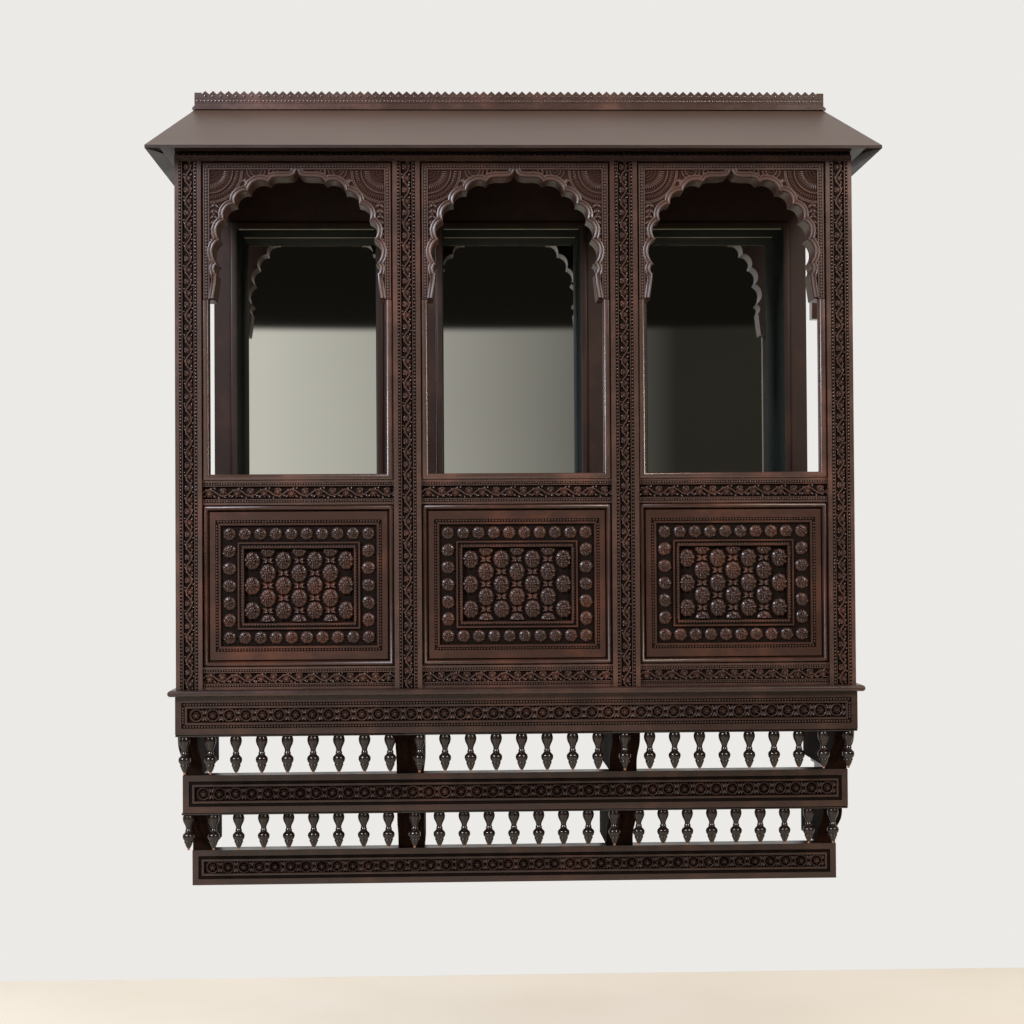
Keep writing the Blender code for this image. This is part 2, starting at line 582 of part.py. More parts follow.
def build_base(material):
    """Ledge board, stepped tiers, consoles and rows of pendants."""
    half = TIER_HALF_WIDTHS[0] + LEDGE_OVERHANG
    depth = TIER_DEPTHS[0] + LEDGE_OVERHANG
    ledge = box_bmesh((-half, -depth, TIER_1_TOP + GAP), (half, 0, BODY_BOTTOM))
    rim = [edge for edge in ledge.edges
           if abs(edge.verts[0].co.z - edge.verts[1].co.z) < 0.0001
           and not all(abs(vert.co.y) < 0.0001 for vert in edge.verts)]
    bmesh.ops.bevel(ledge, geom=rim, offset=(LEDGE_THICKNESS - GAP) * LEDGE_ROUNDING, segments=3,
                    profile=0.5, affect="EDGES", material=-1)
    add_mesh_object("ledge_board", ledge, material)
    for index in range(3):
        low = (-TIER_HALF_WIDTHS[index], -TIER_DEPTHS[index], TIER_BOTTOMS[index])
        high = (TIER_HALF_WIDTHS[index], 0, TIER_TOPS[index])
        tier = box_bmesh(low, high)
        back = face_towards(tier, (0, 1, 0))
        step_in(tier, back, ((TIER_BOARD, 0.0), (0.0, -(TIER_DEPTHS[index] - TIER_BOARD))))
        face = face_towards(tier, (0, -1, 0))
        step_in(tier, face, ((CHANNEL_EDGE, 0.0), (CHANNEL_DEPTH, -CHANNEL_DEPTH)))
        piece = add_mesh_object("tier_%d" % (index + 1), tier, material)
        if index > 0:
            # The two lower tiers are open on top behind a narrow rail.
            reach = TIER_HALF_WIDTHS[index] - TIER_END_RAIL
            rail_back = TIER_TOP_RAIL - TIER_DEPTHS[index]
            opening = add_box("opening", (-reach, rail_back, TIER_TOPS[index] - 2 * TIER_BOARD),
                              (reach, TIER_BOARD, TIER_TOPS[index] + TIER_BOARD), material)
            combine(piece, [opening], "DIFFERENCE")
    for row in range(2):
        build_console_row(row, material)
        build_pendant_row(row, material)


def build_console_row(row, material):
    """Curved blocks from under one tier down to the next one."""
    top = TIER_BOTTOMS[row] - GAP
    bottom = TIER_TOPS[row + 1] + GAP
    nose = -(TIER_DEPTHS[row] - PENDANT_SETBACK - BATTEN_WIDTH / 2 - CONSOLE_CLEARANCE)
    toe = -(TIER_DEPTHS[row + 1] - PENDANT_SETBACK / 2)
    lip = (top - bottom) * CONSOLE_LIP
    outline = [(0, top), (nose, top), (nose, top - lip)]
    for step in range(1, CONSOLE_STEPS):
        share = step / CONSOLE_STEPS
        sweep = share - math.sin(math.tau * share) * CONSOLE_SWAY
        outline.append((nose + (toe - nose) * sweep, top - lip - (top - bottom - 2 * lip) * share))
    outline += [(toe, bottom + lip), (toe, bottom), (0, bottom)]
    end = TIER_HALF_WIDTHS[row + 1] - GAP
    spans = [(-end, -end + END_CONSOLE_WIDTH)]
    spans += [(centre - CONSOLE_WIDTH / 2, centre + CONSOLE_WIDTH / 2) for centre in POST_CENTRES]
    spans += [(end - END_CONSOLE_WIDTH, end)]
    for index, (left, right) in enumerate(spans):
        block = side_plate_bmesh(outline, left, right)
        add_mesh_object("console_%d_%d" % (row + 1, index + 1), block, material)


def pendant_bmesh(length):
    """Turned pendant that hangs from the origin: radius and depth as shares along the profile."""
    profile = ((0.96, -0.12), (0.45, -0.39), (1.0, -0.62), (0.72, -0.76), (0.30, -0.95), (0.22, -1.0))
    line = bmesh.new()
    points = [(0.0, 0.001), (0.80, 0.001)] + [(radius, depth * length) for radius, depth in profile]
    points += [(0.0, -length)]
    corners = [line.verts.new((radius * PENDANT_RADIUS, 0, depth)) for radius, depth in points]
    for first, second in zip(corners, corners[1:]):
        line.edges.new((first, second))
    geometry = line.verts[:] + line.edges[:]
    bmesh.ops.spin(line, geom=geometry, cent=(0, 0, 0), axis=(0, 0, 1), angle=math.tau,
                   steps=PENDANT_SIDES, use_merge=True)
    bmesh.ops.remove_doubles(line, verts=line.verts, dist=0.00001)
    return line


def build_pendant_row(row, material):
    """Three battens, each with a group of turned pendants, that meet midway between two groups."""
    top = TIER_BOTTOMS[row] - GAP
    axis_y = -(TIER_DEPTHS[row] - PENDANT_SETBACK)
    half = TIER_HALF_WIDTHS[row]
    spans = [(first * half, last * half) for first, last in PENDANT_SPANS[row]]
    joints = [(before[1] + after[0]) / 2 for before, after in zip(spans, spans[1:])]
    lefts = [-half] + [joint + GAP / 2 for joint in joints]
    rights = [joint - GAP / 2 for joint in joints] + [half]
    for group, (first, last) in enumerate(spans):
        count = PENDANT_COUNTS[group]
        pitch = (last - first) / (count - 1)
        name = "pendants_%d_%d" % (row + 1, group + 1)
        batten = add_box(name, (lefts[group], axis_y - BATTEN_WIDTH / 2, top - BATTEN_HEIGHT),
                         (rights[group], axis_y + BATTEN_WIDTH / 2, top), material)
        turned = []
        for index in range(count):
            shape = pendant_bmesh(PENDANT_LENGTHS[row])
            place = (first + index * pitch, axis_y, top - BATTEN_HEIGHT)
            bmesh.ops.translate(shape, vec=place, verts=shape.verts)
            turned.append(add_mesh_object("pendant", shape, material))
        combine(batten, turned, "UNION")


def edge_is_diagonal(edge):
    """True for the mitre edges across a flat rim."""
    run = edge.verts[1].co - edge.verts[0].co
    return abs(run.x) > 0.001 and abs(run.z) > 0.001


def build_back(material, silver):
    """Face frame with a deep box for each mirror, open to the front and closed at the wall."""
    front = -BACK_FRAME_DEPTH
    frame_half = HALF_BODY - BACK_FRAME_MARGIN
    frame_top = HEADER_TOP - CEILING_THICKNESS - 2 * GAP
    glass_half = BAY_CLEAR / 2 - MIRROR_MARGIN
    half = glass_half + MIRROR_BOX_WALL
    low = SILL_BOTTOM
    high = SILL_TOP + MIRROR_TOP_HEIGHT + MIRROR_BOX_WALL
    board = add_box("back_frame", (-frame_half, front, BODY_BOTTOM + GAP),
                    (frame_half, front + BACK_FRAME_THICKNESS, frame_top), material)
    holes = []
    for centre in BAY_CENTRES:
        holes.append(add_box("hole", (centre - half - GAP, front - BACK_FRAME_THICKNESS, low - GAP),
                             (centre + half + GAP, front + 2 * BACK_FRAME_THICKNESS, high + GAP), material))
    combine(board, holes, "DIFFERENCE")
    rim_y = front - MIRROR_BOX_PROUD
    glass_back = -MIRROR_BOX_FLOOR - GAP
    for index, centre in enumerate(BAY_CENTRES):
        number = str(index + 1)
        case = box_bmesh((centre - half, rim_y, low), (centre + half, 0, high))
        face = face_towards(case, (0, -1, 0))
        step_in(case, face, ((MIRROR_BOX_WALL, 0.0), (0.0, rim_y + MIRROR_BOX_FLOOR)))
        rim = [edge for edge in case.edges
               if all(abs(vert.co.y - rim_y) < 0.0001 for vert in edge.verts)
               and not edge_is_diagonal(edge)]
        bmesh.ops.bevel(case, geom=rim, offset=MIRROR_BOX_PROUD * RIM_ROUNDING, segments=2, profile=0.5,
                        affect="EDGES", material=-1)
        add_mesh_object("mirror_box_" + number, case, material)
        add_box("mirror_" + number,
                (centre - glass_half + GAP, glass_back - MIRROR_THICKNESS, low + MIRROR_BOX_WALL + GAP),
                (centre + glass_half - GAP, glass_back, high - MIRROR_BOX_WALL - GAP), silver)


def main():
    clear_scene()
    collection = bpy.data.collections.new("oriel_window")
    bpy.context.scene.collection.children.link(collection)
    carved = make_material("carved_teak", (0.030, 0.017, 0.012), 0.32)
    red = make_material("red_teak", (0.060, 0.026, 0.015), 0.36)
    roof = make_material("roof_board", (0.055, 0.040, 0.032), 0.45)
    silver = make_material("mirror_glass", (0.72, 0.74, 0.73), 0.02, 1.0)
    build_roof(roof)
    build_cresting(carved)
    build_header(carved)
    build_posts(carved)
    build_bays(carved, red)
    build_sides(carved, red)
    build_base(carved)
    build_back(carved, silver)


main()
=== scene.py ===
"""Dressed oriel window: carved teak bays, vine rails, fan spandrels, turned pendants and deep mirrors.

Every carved piece is laid out in its own board's directions: u along it, v across it and w out of it.
"""
import math

import bmesh
import bpy
from mathutils import Matrix, Vector


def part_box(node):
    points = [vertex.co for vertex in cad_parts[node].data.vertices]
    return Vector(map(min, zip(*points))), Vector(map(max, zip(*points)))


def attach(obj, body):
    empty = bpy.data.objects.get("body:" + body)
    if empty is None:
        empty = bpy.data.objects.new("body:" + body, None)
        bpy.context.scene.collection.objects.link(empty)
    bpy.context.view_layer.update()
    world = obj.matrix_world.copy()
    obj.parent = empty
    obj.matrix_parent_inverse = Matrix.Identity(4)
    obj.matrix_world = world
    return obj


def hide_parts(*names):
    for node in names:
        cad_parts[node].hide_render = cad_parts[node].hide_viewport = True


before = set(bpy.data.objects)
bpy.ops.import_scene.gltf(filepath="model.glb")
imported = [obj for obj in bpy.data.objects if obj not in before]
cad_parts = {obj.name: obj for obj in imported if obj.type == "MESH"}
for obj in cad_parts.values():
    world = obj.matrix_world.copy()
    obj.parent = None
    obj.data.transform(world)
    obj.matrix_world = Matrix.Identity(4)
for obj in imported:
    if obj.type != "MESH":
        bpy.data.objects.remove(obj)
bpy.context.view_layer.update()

BAYS = (1, 2, 3)
X_AXIS = Vector((1, 0, 0))
Y_AXIS = Vector((0, 1, 0))
Z_AXIS = Vector((0, 0, 1))
BEAD_RADIUS = 0.0031
BEAD_SINK = 0.003               # beads stand in a channel this deep
GROUND_DEPTH = 0.007            # cut ground behind the carving
STEM_RADIUS = 0.0023
SHARP_ANGLE = math.radians(38)
WOOD = 0
GROUND = 1
# slot for the pale lines of painted highlight in the mirror boxes
HIGHLIGHT_SLOT = 2


# Colours and nodes
def colour(hex_code):
    """sRGB hex to the linear colour that the shader wants."""
    parts = [int(hex_code[index:index + 2], 16) / 255 for index in (1, 3, 5)]
    linear = [part / 12.92 if part <= 0.04045 else ((part + 0.055) / 1.055) ** 2.4 for part in parts]
    return tuple(linear) + (1.0,)


def add_node(tree, kind, settings=None, links=None):
    """One node with its settings, and links from other nodes' sockets into its inputs."""
    node = tree.nodes.new(kind)
    for key, value in (settings or {}).items():
        if isinstance(key, str) and hasattr(node, key):
            setattr(node, key, value)
        else:
            node.inputs[key].default_value = value
    for key, socket in (links or {}).items():
        tree.links.new(socket, node.inputs[key])
    return node


def new_material(name):
    material = bpy.data.materials.new(name)
    material.use_nodes = True
    tree = material.node_tree
    shader = tree.nodes["Principled BSDF"]
    return material, tree, shader


def carved_teak(name, along, dark, light, red, red_share, roughness, gloss=0.5):
    """Teak, carved, stained dark and waxed: streaks along the grain, redder where the stain is worn."""
    material, tree, shader = new_material(name)
    place = add_node(tree, "ShaderNodeTexCoord")
    # Grain streaks are about 2 mm wide and twenty times as long; finer than that wouldn't show.
    stretch = [480.0, 480.0, 480.0]
    stretch["XYZ".index(along)] = 24.0
    mapping = add_node(tree, "ShaderNodeMapping", {"Scale": stretch}, {"Vector": place.outputs["Object"]})
    grain = add_node(tree, "ShaderNodeTexNoise", {"Scale": 1.0, "Detail": 3.0, "Roughness": 0.6},
                     {"Vector": mapping.outputs["Vector"]})
    patch = add_node(tree, "ShaderNodeTexNoise", {"Scale": 7.0, "Detail": 4.0, "Roughness": 0.62},
                     {"Vector": place.outputs["Object"]})
    grain_mix = add_node(tree, "ShaderNodeMixRGB", {"Color1": colour(dark), "Color2": colour(light)},
                         {"Fac": grain.outputs["Fac"]})
    worn = add_node(tree, "ShaderNodeMapRange", {"From Min": 0.50, "From Max": 0.72, "To Min": 0.0,
                                                 "To Max": red_share}, {"Value": patch.outputs["Fac"]})
    body = add_node(tree, "ShaderNodeMixRGB", {"Color2": colour(red)},
                    {"Fac": worn.outputs["Result"], "Color1": grain_mix.outputs["Color"]})
    tree.links.new(body.outputs["Color"], shader.inputs["Base Color"])
    sheen = add_node(tree, "ShaderNodeMapRange",
                     {"From Min": 0.3, "From Max": 0.7, "To Min": roughness - 0.06,
                      "To Max": roughness + 0.10}, {"Value": patch.outputs["Fac"]})
    tree.links.new(sheen.outputs["Result"], shader.inputs["Roughness"])
    bump = add_node(tree, "ShaderNodeBump", {"Strength": 0.25, "Distance": 0.0004},
                    {"Height": grain.outputs["Fac"]})
    tree.links.new(bump.outputs["Normal"], shader.inputs["Normal"])
    shader.inputs["Specular IOR Level"].default_value = gloss
    return material


def shaded_ground(name, tone, light):
    """Teak ground between the carving, chisel-cut, dark and dull: its darkness is painted shade in the
    recesses.
    """
    material, tree, shader = new_material(name)
    place = add_node(tree, "ShaderNodeTexCoord")
    # Chisel marks about 3 mm apart.
    chisel = add_node(tree, "ShaderNodeTexNoise", {"Scale": 330.0, "Detail": 2.0},
                      {"Vector": place.outputs["Object"]})
    tint = add_node(tree, "ShaderNodeMixRGB", {"Color1": colour(tone), "Color2": colour(light)},
                    {"Fac": chisel.outputs["Fac"]})
    tree.links.new(tint.outputs["Color"], shader.inputs["Base Color"])
    bump = add_node(tree, "ShaderNodeBump", {"Strength": 0.5, "Distance": 0.0008},
                    {"Height": chisel.outputs["Fac"]})
    tree.links.new(bump.outputs["Normal"], shader.inputs["Normal"])
    shader.inputs["Roughness"].default_value = 0.62
    shader.inputs["Specular IOR Level"].default_value = 0.06
    return material


def stained_roof_board(name, dark, light):
    """Teak boards, planed and stained grey-brown: an even satin face with fine pale specks."""
    material, tree, shader = new_material(name)
    place = add_node(tree, "ShaderNodeTexCoord")
    mapping = add_node(tree, "ShaderNodeMapping", {"Scale": (14.0, 160.0, 160.0)},
                       {"Vector": place.outputs["Object"]})
    streak = add_node(tree, "ShaderNodeTexNoise", {"Scale": 1.0, "Detail": 4.0},
                      {"Vector": mapping.outputs["Vector"]})
    cloud = add_node(tree, "ShaderNodeTexNoise", {"Scale": 3.2, "Detail": 3.0},
                     {"Vector": place.outputs["Object"]})
    tint = add_node(tree, "ShaderNodeMixRGB", {"Color1": colour(dark), "Color2": colour(light)},
                    {"Fac": cloud.outputs["Fac"]})
    grained = add_node(tree, "ShaderNodeMixRGB", {"blend_type": "MULTIPLY", "Fac": 0.25},
                       {"Color1": tint.outputs["Color"], "Color2": streak.outputs["Color"]})
    # Specks of dust about 3 mm across, set wide apart.
    speck = add_node(tree, "ShaderNodeTexVoronoi", {"Scale": 16.0}, {"Vector": place.outputs["Object"]})
    dust = add_node(tree, "ShaderNodeMapRange", {"From Min": 0.045, "From Max": 0.02, "To Min": 0.0,
                                                 "To Max": 0.5}, {"Value": speck.outputs["Distance"]})
    dusted = add_node(tree, "ShaderNodeMixRGB", {"Color2": colour("#8d8177")},
                      {"Fac": dust.outputs["Result"], "Color1": grained.outputs["Color"]})
    tree.links.new(dusted.outputs["Color"], shader.inputs["Base Color"])
    shader.inputs["Roughness"].default_value = 0.42
    bump = add_node(tree, "ShaderNodeBump", {"Strength": 0.12, "Distance": 0.0004},
                    {"Height": streak.outputs["Fac"]})
    tree.links.new(bump.outputs["Normal"], shader.inputs["Normal"])
    return material


def silvered_glass(name):
    """Float glass, silvered on the back: a clear reflection, a little dark and a little waved by age."""
    material, tree, shader = new_material(name)
    place = add_node(tree, "ShaderNodeTexCoord")
    wave = add_node(tree, "ShaderNodeTexNoise", {"Scale": 2.5, "Detail": 1.0},
                    {"Vector": place.outputs["Object"]})
    tint = add_node(tree, "ShaderNodeMixRGB", {"Color1": colour("#d8dad6"), "Color2": colour("#e2e4e0")},
                    {"Fac": wave.outputs["Fac"]})
    tree.links.new(tint.outputs["Color"], shader.inputs["Base Color"])
    shader.inputs["Metallic"].default_value = 1.0
    shader.inputs["Roughness"].default_value = 0.02
    return material


def bare_teak_and_highlight(name, dark, light):
    """Pale teak: bare where the stain has gone at a pendant's tip, and also a thin pale line that is a
    painted highlight.
    """
    material, tree, shader = new_material(name)
    place = add_node(tree, "ShaderNodeTexCoord")
    ring = add_node(tree, "ShaderNodeTexNoise", {"Scale": 400.0}, {"Vector": place.outputs["Object"]})
    tint = add_node(tree, "ShaderNodeMixRGB", {"Color1": colour(dark), "Color2": colour(light)},
                    {"Fac": ring.outputs["Fac"]})
    tree.links.new(tint.outputs["Color"], shader.inputs["Base Color"])
    shader.inputs["Roughness"].default_value = 0.6
    return material


def dull_lining(name):
    """Board inside the mirror boxes, green-black and dull: painted shade, so it stays dark beside the
    bright glass.
    """
    material, tree, shader = new_material(name)
    place = add_node(tree, "ShaderNodeTexCoord")
    # Brush marks run from front to back, about 4 mm apart.
    mapping = add_node(tree, "ShaderNodeMapping", {"Scale": (250.0, 12.0, 250.0)},
                       {"Vector": place.outputs["Object"]})
    brush = add_node(tree, "ShaderNodeTexNoise", {"Scale": 1.0, "Detail": 2.0},
                     {"Vector": mapping.outputs["Vector"]})
    tint = add_node(tree, "ShaderNodeMixRGB", {"Color1": colour("#161a17"), "Color2": colour("#262c27")},
                    {"Fac": brush.outputs["Fac"]})
    tree.links.new(tint.outputs["Color"], shader.inputs["Base Color"])
    shader.inputs["Roughness"].default_value = 0.85
    shader.inputs["Specular IOR Level"].default_value = 0.10
    return material


def pale_tile(name):
    """Polished stone tile: warm, pale and a little glossy."""
    material, tree, shader = new_material(name)
    place = add_node(tree, "ShaderNodeTexCoord")
    cloud = add_node(tree, "ShaderNodeTexNoise", {"Scale": 2.0, "Detail": 4.0},
                     {"Vector": place.outputs["Object"]})
    tint = add_node(tree, "ShaderNodeMixRGB", {"Color1": colour("#dccdb4"), "Color2": colour("#ece1cf")},
                    {"Fac": cloud.outputs["Fac"]})
    tree.links.new(tint.outputs["Color"], shader.inputs["Base Color"])
    shader.inputs["Roughness"].default_value = 0.35
    return material


# Each teak: direction, dark and light of the grain, worn red and its share, roughness, gloss
TEAK_LEVEL = carved_teak("teak_carved_waxed_level", "X", "#2a1b16", "#4c362d", "#6b4030", 0.45, 0.27, 0.70)
TEAK_UPRIGHT = carved_teak("teak_carved_waxed_upright", "Z", "#2a1b16", "#4c362d", "#6b4030", 0.45, 0.27,
                           0.70)
TEAK_TIER = carved_teak("teak_carved_waxed_tier", "X", "#1d120e", "#38241c", "#52301f", 0.45, 0.32, 0.55)
TEAK_RED = carved_teak("teak_waxed_red_frame", "X", "#22120b", "#3c2217", "#5c2e17", 0.60, 0.34, 0.50)
TEAK_TURNED = carved_teak("teak_turned_polished", "Z", "#120a08", "#1f130d", "#2a170f", 0.3, 0.20, 0.50)
# Back frame, ceiling board and mirror boxes: darker teak, painted shade inside the bays.
TEAK_BACK_SHADE = carved_teak("teak_plain_waxed_back_painted_shade", "Z", "#190f0b", "#2d1c15", "#3d2419", 0.5, 0.50, 0.20)
# Consoles: darker, dull teak, painted shade under the tiers.
TEAK_BRACKET_SHADE = carved_teak("teak_carved_dull_bracket_painted_shade", "Y", "#150d0a", "#261811", "#321e15", 0.3, 0.60,
                           0.005)
TEAK_ARCH = carved_teak("teak_carved_waxed_arch", "X", "#2c1d18", "#503a33", "#6b4030", 0.4, 0.40, 0.45)
# Roof edges and undersides: painted shade.
EAVE_EDGE_SHADE = carved_teak("teak_eave_edge_painted_shade", "X", "#1c120e", "#30201a", "#3c251b", 0.3, 0.42, 0.30)
# The cut grounds are near black: painted shade where the carving is cut back.
CUT_GROUND_SHADE = shaded_ground("teak_ground_chiselled_painted_shade", "#050302", "#1a100c")
SPANDREL_GROUND_SHADE = shaded_ground("teak_spandrel_chiselled_painted_shade", "#180d0a", "#3a231b")
BOX_LINING_SHADE = dull_lining("box_lining_painted_shade")
ROOF_STAIN = stained_roof_board("teak_planed_grey_stain", "#4c3a30", "#624c3f")
# The soffits are the grey stain made darker: painted shade under the eaves.
SOFFIT_STAIN_SHADE = stained_roof_board("teak_planed_soffit_painted_shade", "#302823", "#3e3530")
MIRROR_SILVER = silvered_glass("glass_silvered")
PEG_TAN = bare_teak_and_highlight("teak_sawn_bare", "#6d4a36", "#94694d")
# Thin pale lines in the mirror boxes: painted highlight and painted reflection.
HIGHLIGHT_EDGE = bare_teak_and_highlight("teak_edge_painted_highlight", "#a89f84", "#cfc6aa")
FLOOR_TILE = pale_tile("stone_tile_polished")


# Making meshes
def lay(origin, along, across):
    """Board directions to the world: u along, v across, w out of the face."""
    out = along.cross(across)
    matrix = Matrix((along, across, out)).transposed().to_4x4()
    matrix.translation = origin
    return matrix


def spot(u, v, w, turn=0.0, size=1.0, stretch=1.0):
    """A place on a board, with a turn, a size and a stretch along its own v."""
    return (Matrix.Translation((u, v, w)) @ Matrix.Rotation(turn, 4, "Z")
            @ Matrix.Diagonal((size, size * stretch, size, 1.0)))


def keep_mesh(mesh_data, name):
    """A bmesh kept as an ornament to stamp."""
    bmesh.ops.recalc_face_normals(mesh_data, faces=mesh_data.faces)
    mesh = bpy.data.meshes.new(name)
    mesh_data.to_mesh(mesh)
    mesh_data.free()
    return mesh


def stamp(target, ornament, place):
    """One copy of an ornament, added to a piece at a place."""
    copy = ornament.copy()
    copy.transform(place)
    target.from_mesh(copy)
    bpy.data.meshes.remove(copy)


def finish_piece(name, mesh_data, materials, nodes=(), angle=SHARP_ANGLE):
    """A mesh made an object that rides on the body and stands for its nodes."""
    bmesh.ops.recalc_face_normals(mesh_data, faces=mesh_data.faces)
    mesh = bpy.data.meshes.new(name)
    mesh_data.to_mesh(mesh)
    mesh_data.free()
    for material in materials:
        mesh.materials.append(material)
    mesh.polygons.foreach_set("use_smooth", [True] * len(mesh.polygons))
    mesh.set_sharp_from_angle(angle=angle)
    piece = bpy.data.objects.new(name, mesh)
    bpy.context.scene.collection.objects.link(piece)
    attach(piece, "root")
    if nodes:
        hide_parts(*nodes)
    return piece


def box_bmesh(low, high):
    low = Vector(low)
    high = Vector(high)
    mesh_data = bmesh.new()
    bmesh.ops.create_cube(mesh_data, size=1.0)
    bmesh.ops.scale(mesh_data, vec=high - low, verts=mesh_data.verts)
    bmesh.ops.translate(mesh_data, vec=(high + low) / 2, verts=mesh_data.verts)
    return mesh_data


def add_bmesh(target, extra):
    """Move one bmesh's contents into another."""
    bmesh.ops.recalc_face_normals(extra, faces=extra.faces)
    holder = bpy.data.meshes.new("holder")
    extra.to_mesh(holder)
    extra.free()
    target.from_mesh(holder)
    bpy.data.meshes.remove(holder)


def face_towards(mesh_data, direction):
    mesh_data.normal_update()
    facing = [face for face in mesh_data.faces if face.normal.dot(direction) > 0.99]
    return max(facing, key=lambda face: face.calc_center_median().dot(direction))


def step_in(mesh_data, face, steps):
    """Inset a face ring by ring: a width, how far it rises or sinks, and the finish of what is left."""
    for width, rise, material_index in steps:
        bmesh.ops.inset_region(mesh_data, faces=[face], thickness=width, depth=rise, use_even_offset=True)
        face.material_index = material_index
    return face


def soften(mesh_data, edges, width, segments):
    bmesh.ops.bevel(mesh_data, geom=edges, offset=width, segments=segments, profile=0.5, affect="EDGES",
                    material=-1)


def moulded_length(section, length, place):
    """A section of v and w carried along u."""
    mesh_data = bmesh.new()
    corners = [mesh_data.verts.new((0.0, v, w)) for v, w in section]
    end = mesh_data.faces.new(corners)
    grown = bmesh.ops.extrude_face_region(mesh_data, geom=[end])["geom"]
    moved = [item for item in grown if isinstance(item, bmesh.types.BMVert)]
    bmesh.ops.translate(mesh_data, vec=(length, 0, 0), verts=moved)
    bmesh.ops.transform(mesh_data, matrix=place, verts=mesh_data.verts)
    return mesh_data


def outline_bmesh(points, thickness):
    """A flat outline filled and made solid to either side of its plane."""
    curve = bpy.data.curves.new("outline", "CURVE")
    curve.dimensions = "2D"
    curve.fill_mode = "BOTH"
    curve.extrude = thickness / 2
    spline = curve.splines.new("POLY")
    spline.points.add(len(points) - 1)
    for point, (x, y) in zip(spline.points, points):
        point.co = (x, y, 0.0, 1.0)
    spline.use_cyclic_u = True
    mesh_data = curve_bmesh(curve)
    bmesh.ops.remove_doubles(mesh_data, verts=mesh_data.verts, dist=0.00001)
    return mesh_data


def curve_bmesh(curve):
    holder = bpy.data.objects.new("holder", curve)
    bpy.context.scene.collection.objects.link(holder)
    depsgraph = bpy.context.evaluated_depsgraph_get()
    mesh = bpy.data.meshes.new_from_object(holder.evaluated_get(depsgraph))
    mesh_data = bmesh.new()
    mesh_data.from_mesh(mesh)
    bpy.data.objects.remove(holder, do_unlink=True)
    bpy.data.curves.remove(curve)
    bpy.data.meshes.remove(mesh)
    return mesh_data


def rib_bmesh(points, radius, place, roundness=1):
    """A round rib that follows points on a board."""
    curve = bpy.data.curves.new("rib", "CURVE")
    curve.dimensions = "3D"
    curve.bevel_depth = radius
    curve.bevel_resolution = roundness
    curve.use_fill_caps = True
    spline = curve.splines.new("POLY")
    spline.points.add(len(points) - 1)
    for point, (u, v, w) in zip(spline.points, points):
        point.co = (u, v, w, 1.0)
    mesh_data = curve_bmesh(curve)
    bmesh.ops.remove_doubles(mesh_data, verts=mesh_data.verts, dist=0.00001)
    bmesh.ops.transform(mesh_data, matrix=place, verts=mesh_data.verts)
    return mesh_data


# Ornaments, one unit in radius and facing +w
def bead_ornament():
    dome = bmesh.new()
    bmesh.ops.create_uvsphere(dome, u_segments=6, v_segments=4, radius=1.0)
    bmesh.ops.scale(dome, vec=(1, 1, 0.9), verts=dome.verts)
    return keep_mesh(dome, "bead")


def flower_ornament(petals, notch, steps, depth=0.5):
    """A round flower: a low drum whose top steps in, with every other point drawn in between petals."""
    drum = bmesh.new()
    count = petals * 2
    bmesh.ops.create_cone(drum, cap_ends=True, segments=count, radius1=1.0, radius2=0.92, depth=depth)
    bmesh.ops.translate(drum, vec=(0, 0, -depth / 2), verts=drum.verts)
    step_in(drum, face_towards(drum, Z_AXIS), steps)
    for vert in drum.verts:
        radius = vert.co.xy.length
        index = round(math.atan2(vert.co.y, vert.co.x) / (math.tau / count))
        if index % 2 and radius > 0.36:
            vert.co.x *= notch
            vert.co.y *= notch
            if vert.co.z > -0.1:
                vert.co.z -= 0.12
    return keep_mesh(drum, "flower")


def leaf_ornament():
    """A pointed leaf with a raised middle, its foot at the origin and its tip one unit along u."""
    leaf = bmesh.new()
    bmesh.ops.create_cone(leaf, cap_ends=True, segments=8, radius1=0.5, radius2=0.44, depth=0.5)
    bmesh.ops.translate(leaf, vec=(0, 0, -0.25), verts=leaf.verts)
    step_in(leaf, face_towards(leaf, Z_AXIS), ((0.16, 0.14, WOOD), (0.12, -0.05, WOOD)))
    for vert in leaf.verts:
        vert.co.y *= 0.62 * (1.0 - 0.45 * max(vert.co.x, 0.0) / 0.5)
        if vert.co.x > 0.3:
            vert.co.x *= 1.25
    bmesh.ops.translate(leaf, vec=(0.45, 0, 0), verts=leaf.verts)
    return keep_mesh(leaf, "leaf")


def ring_ornament(radius, thickness, steps):
    """A raised ring cut in the band."""
    ring = bmesh.new()
    bmesh.ops.create_circle(ring, segments=4, radius=thickness)
    upright = Matrix.Rotation(math.radians(90), 3, "X")
    bmesh.ops.rotate(ring, cent=(0, 0, 0), matrix=upright, verts=ring.verts)
    bmesh.ops.translate(ring, vec=(radius, 0, 0), verts=ring.verts)
    bmesh.ops.spin(ring, geom=ring.verts[:] + ring.edges[:], cent=(0, 0, 0), axis=(0, 0, 1), angle=math.tau,
                   steps=steps, use_merge=True)
    bmesh.ops.remove_doubles(ring, verts=ring.verts, dist=0.0001)
    return keep_mesh(ring, "ring")


def petal_rosette(rings):
    """Rings of curling petals on a low dome, each ring a count, a radius, a height, a length and a dip."""
    flower = bmesh.new()
    dome = bmesh.new()
    bmesh.ops.create_uvsphere(dome, u_segments=12, v_segments=6, radius=0.90)
    bmesh.ops.scale(dome, vec=(1, 1, 0.30), verts=dome.verts)
    add_bmesh(flower, dome)
    for count, radius, height, length, dip in rings:
        for petal in range(count):
            angle = math.tau * petal / count
            foot = spot(radius * math.cos(angle), radius * math.sin(angle), height, turn=angle + 0.45,
                        size=length)
            stamp(flower, LEAF, foot @ Matrix.Rotation(dip, 4, "Y"))
    stamp(flower, BEAD, spot(0, 0, 0.56, size=0.16))
    return keep_mesh(flower, "rosette")


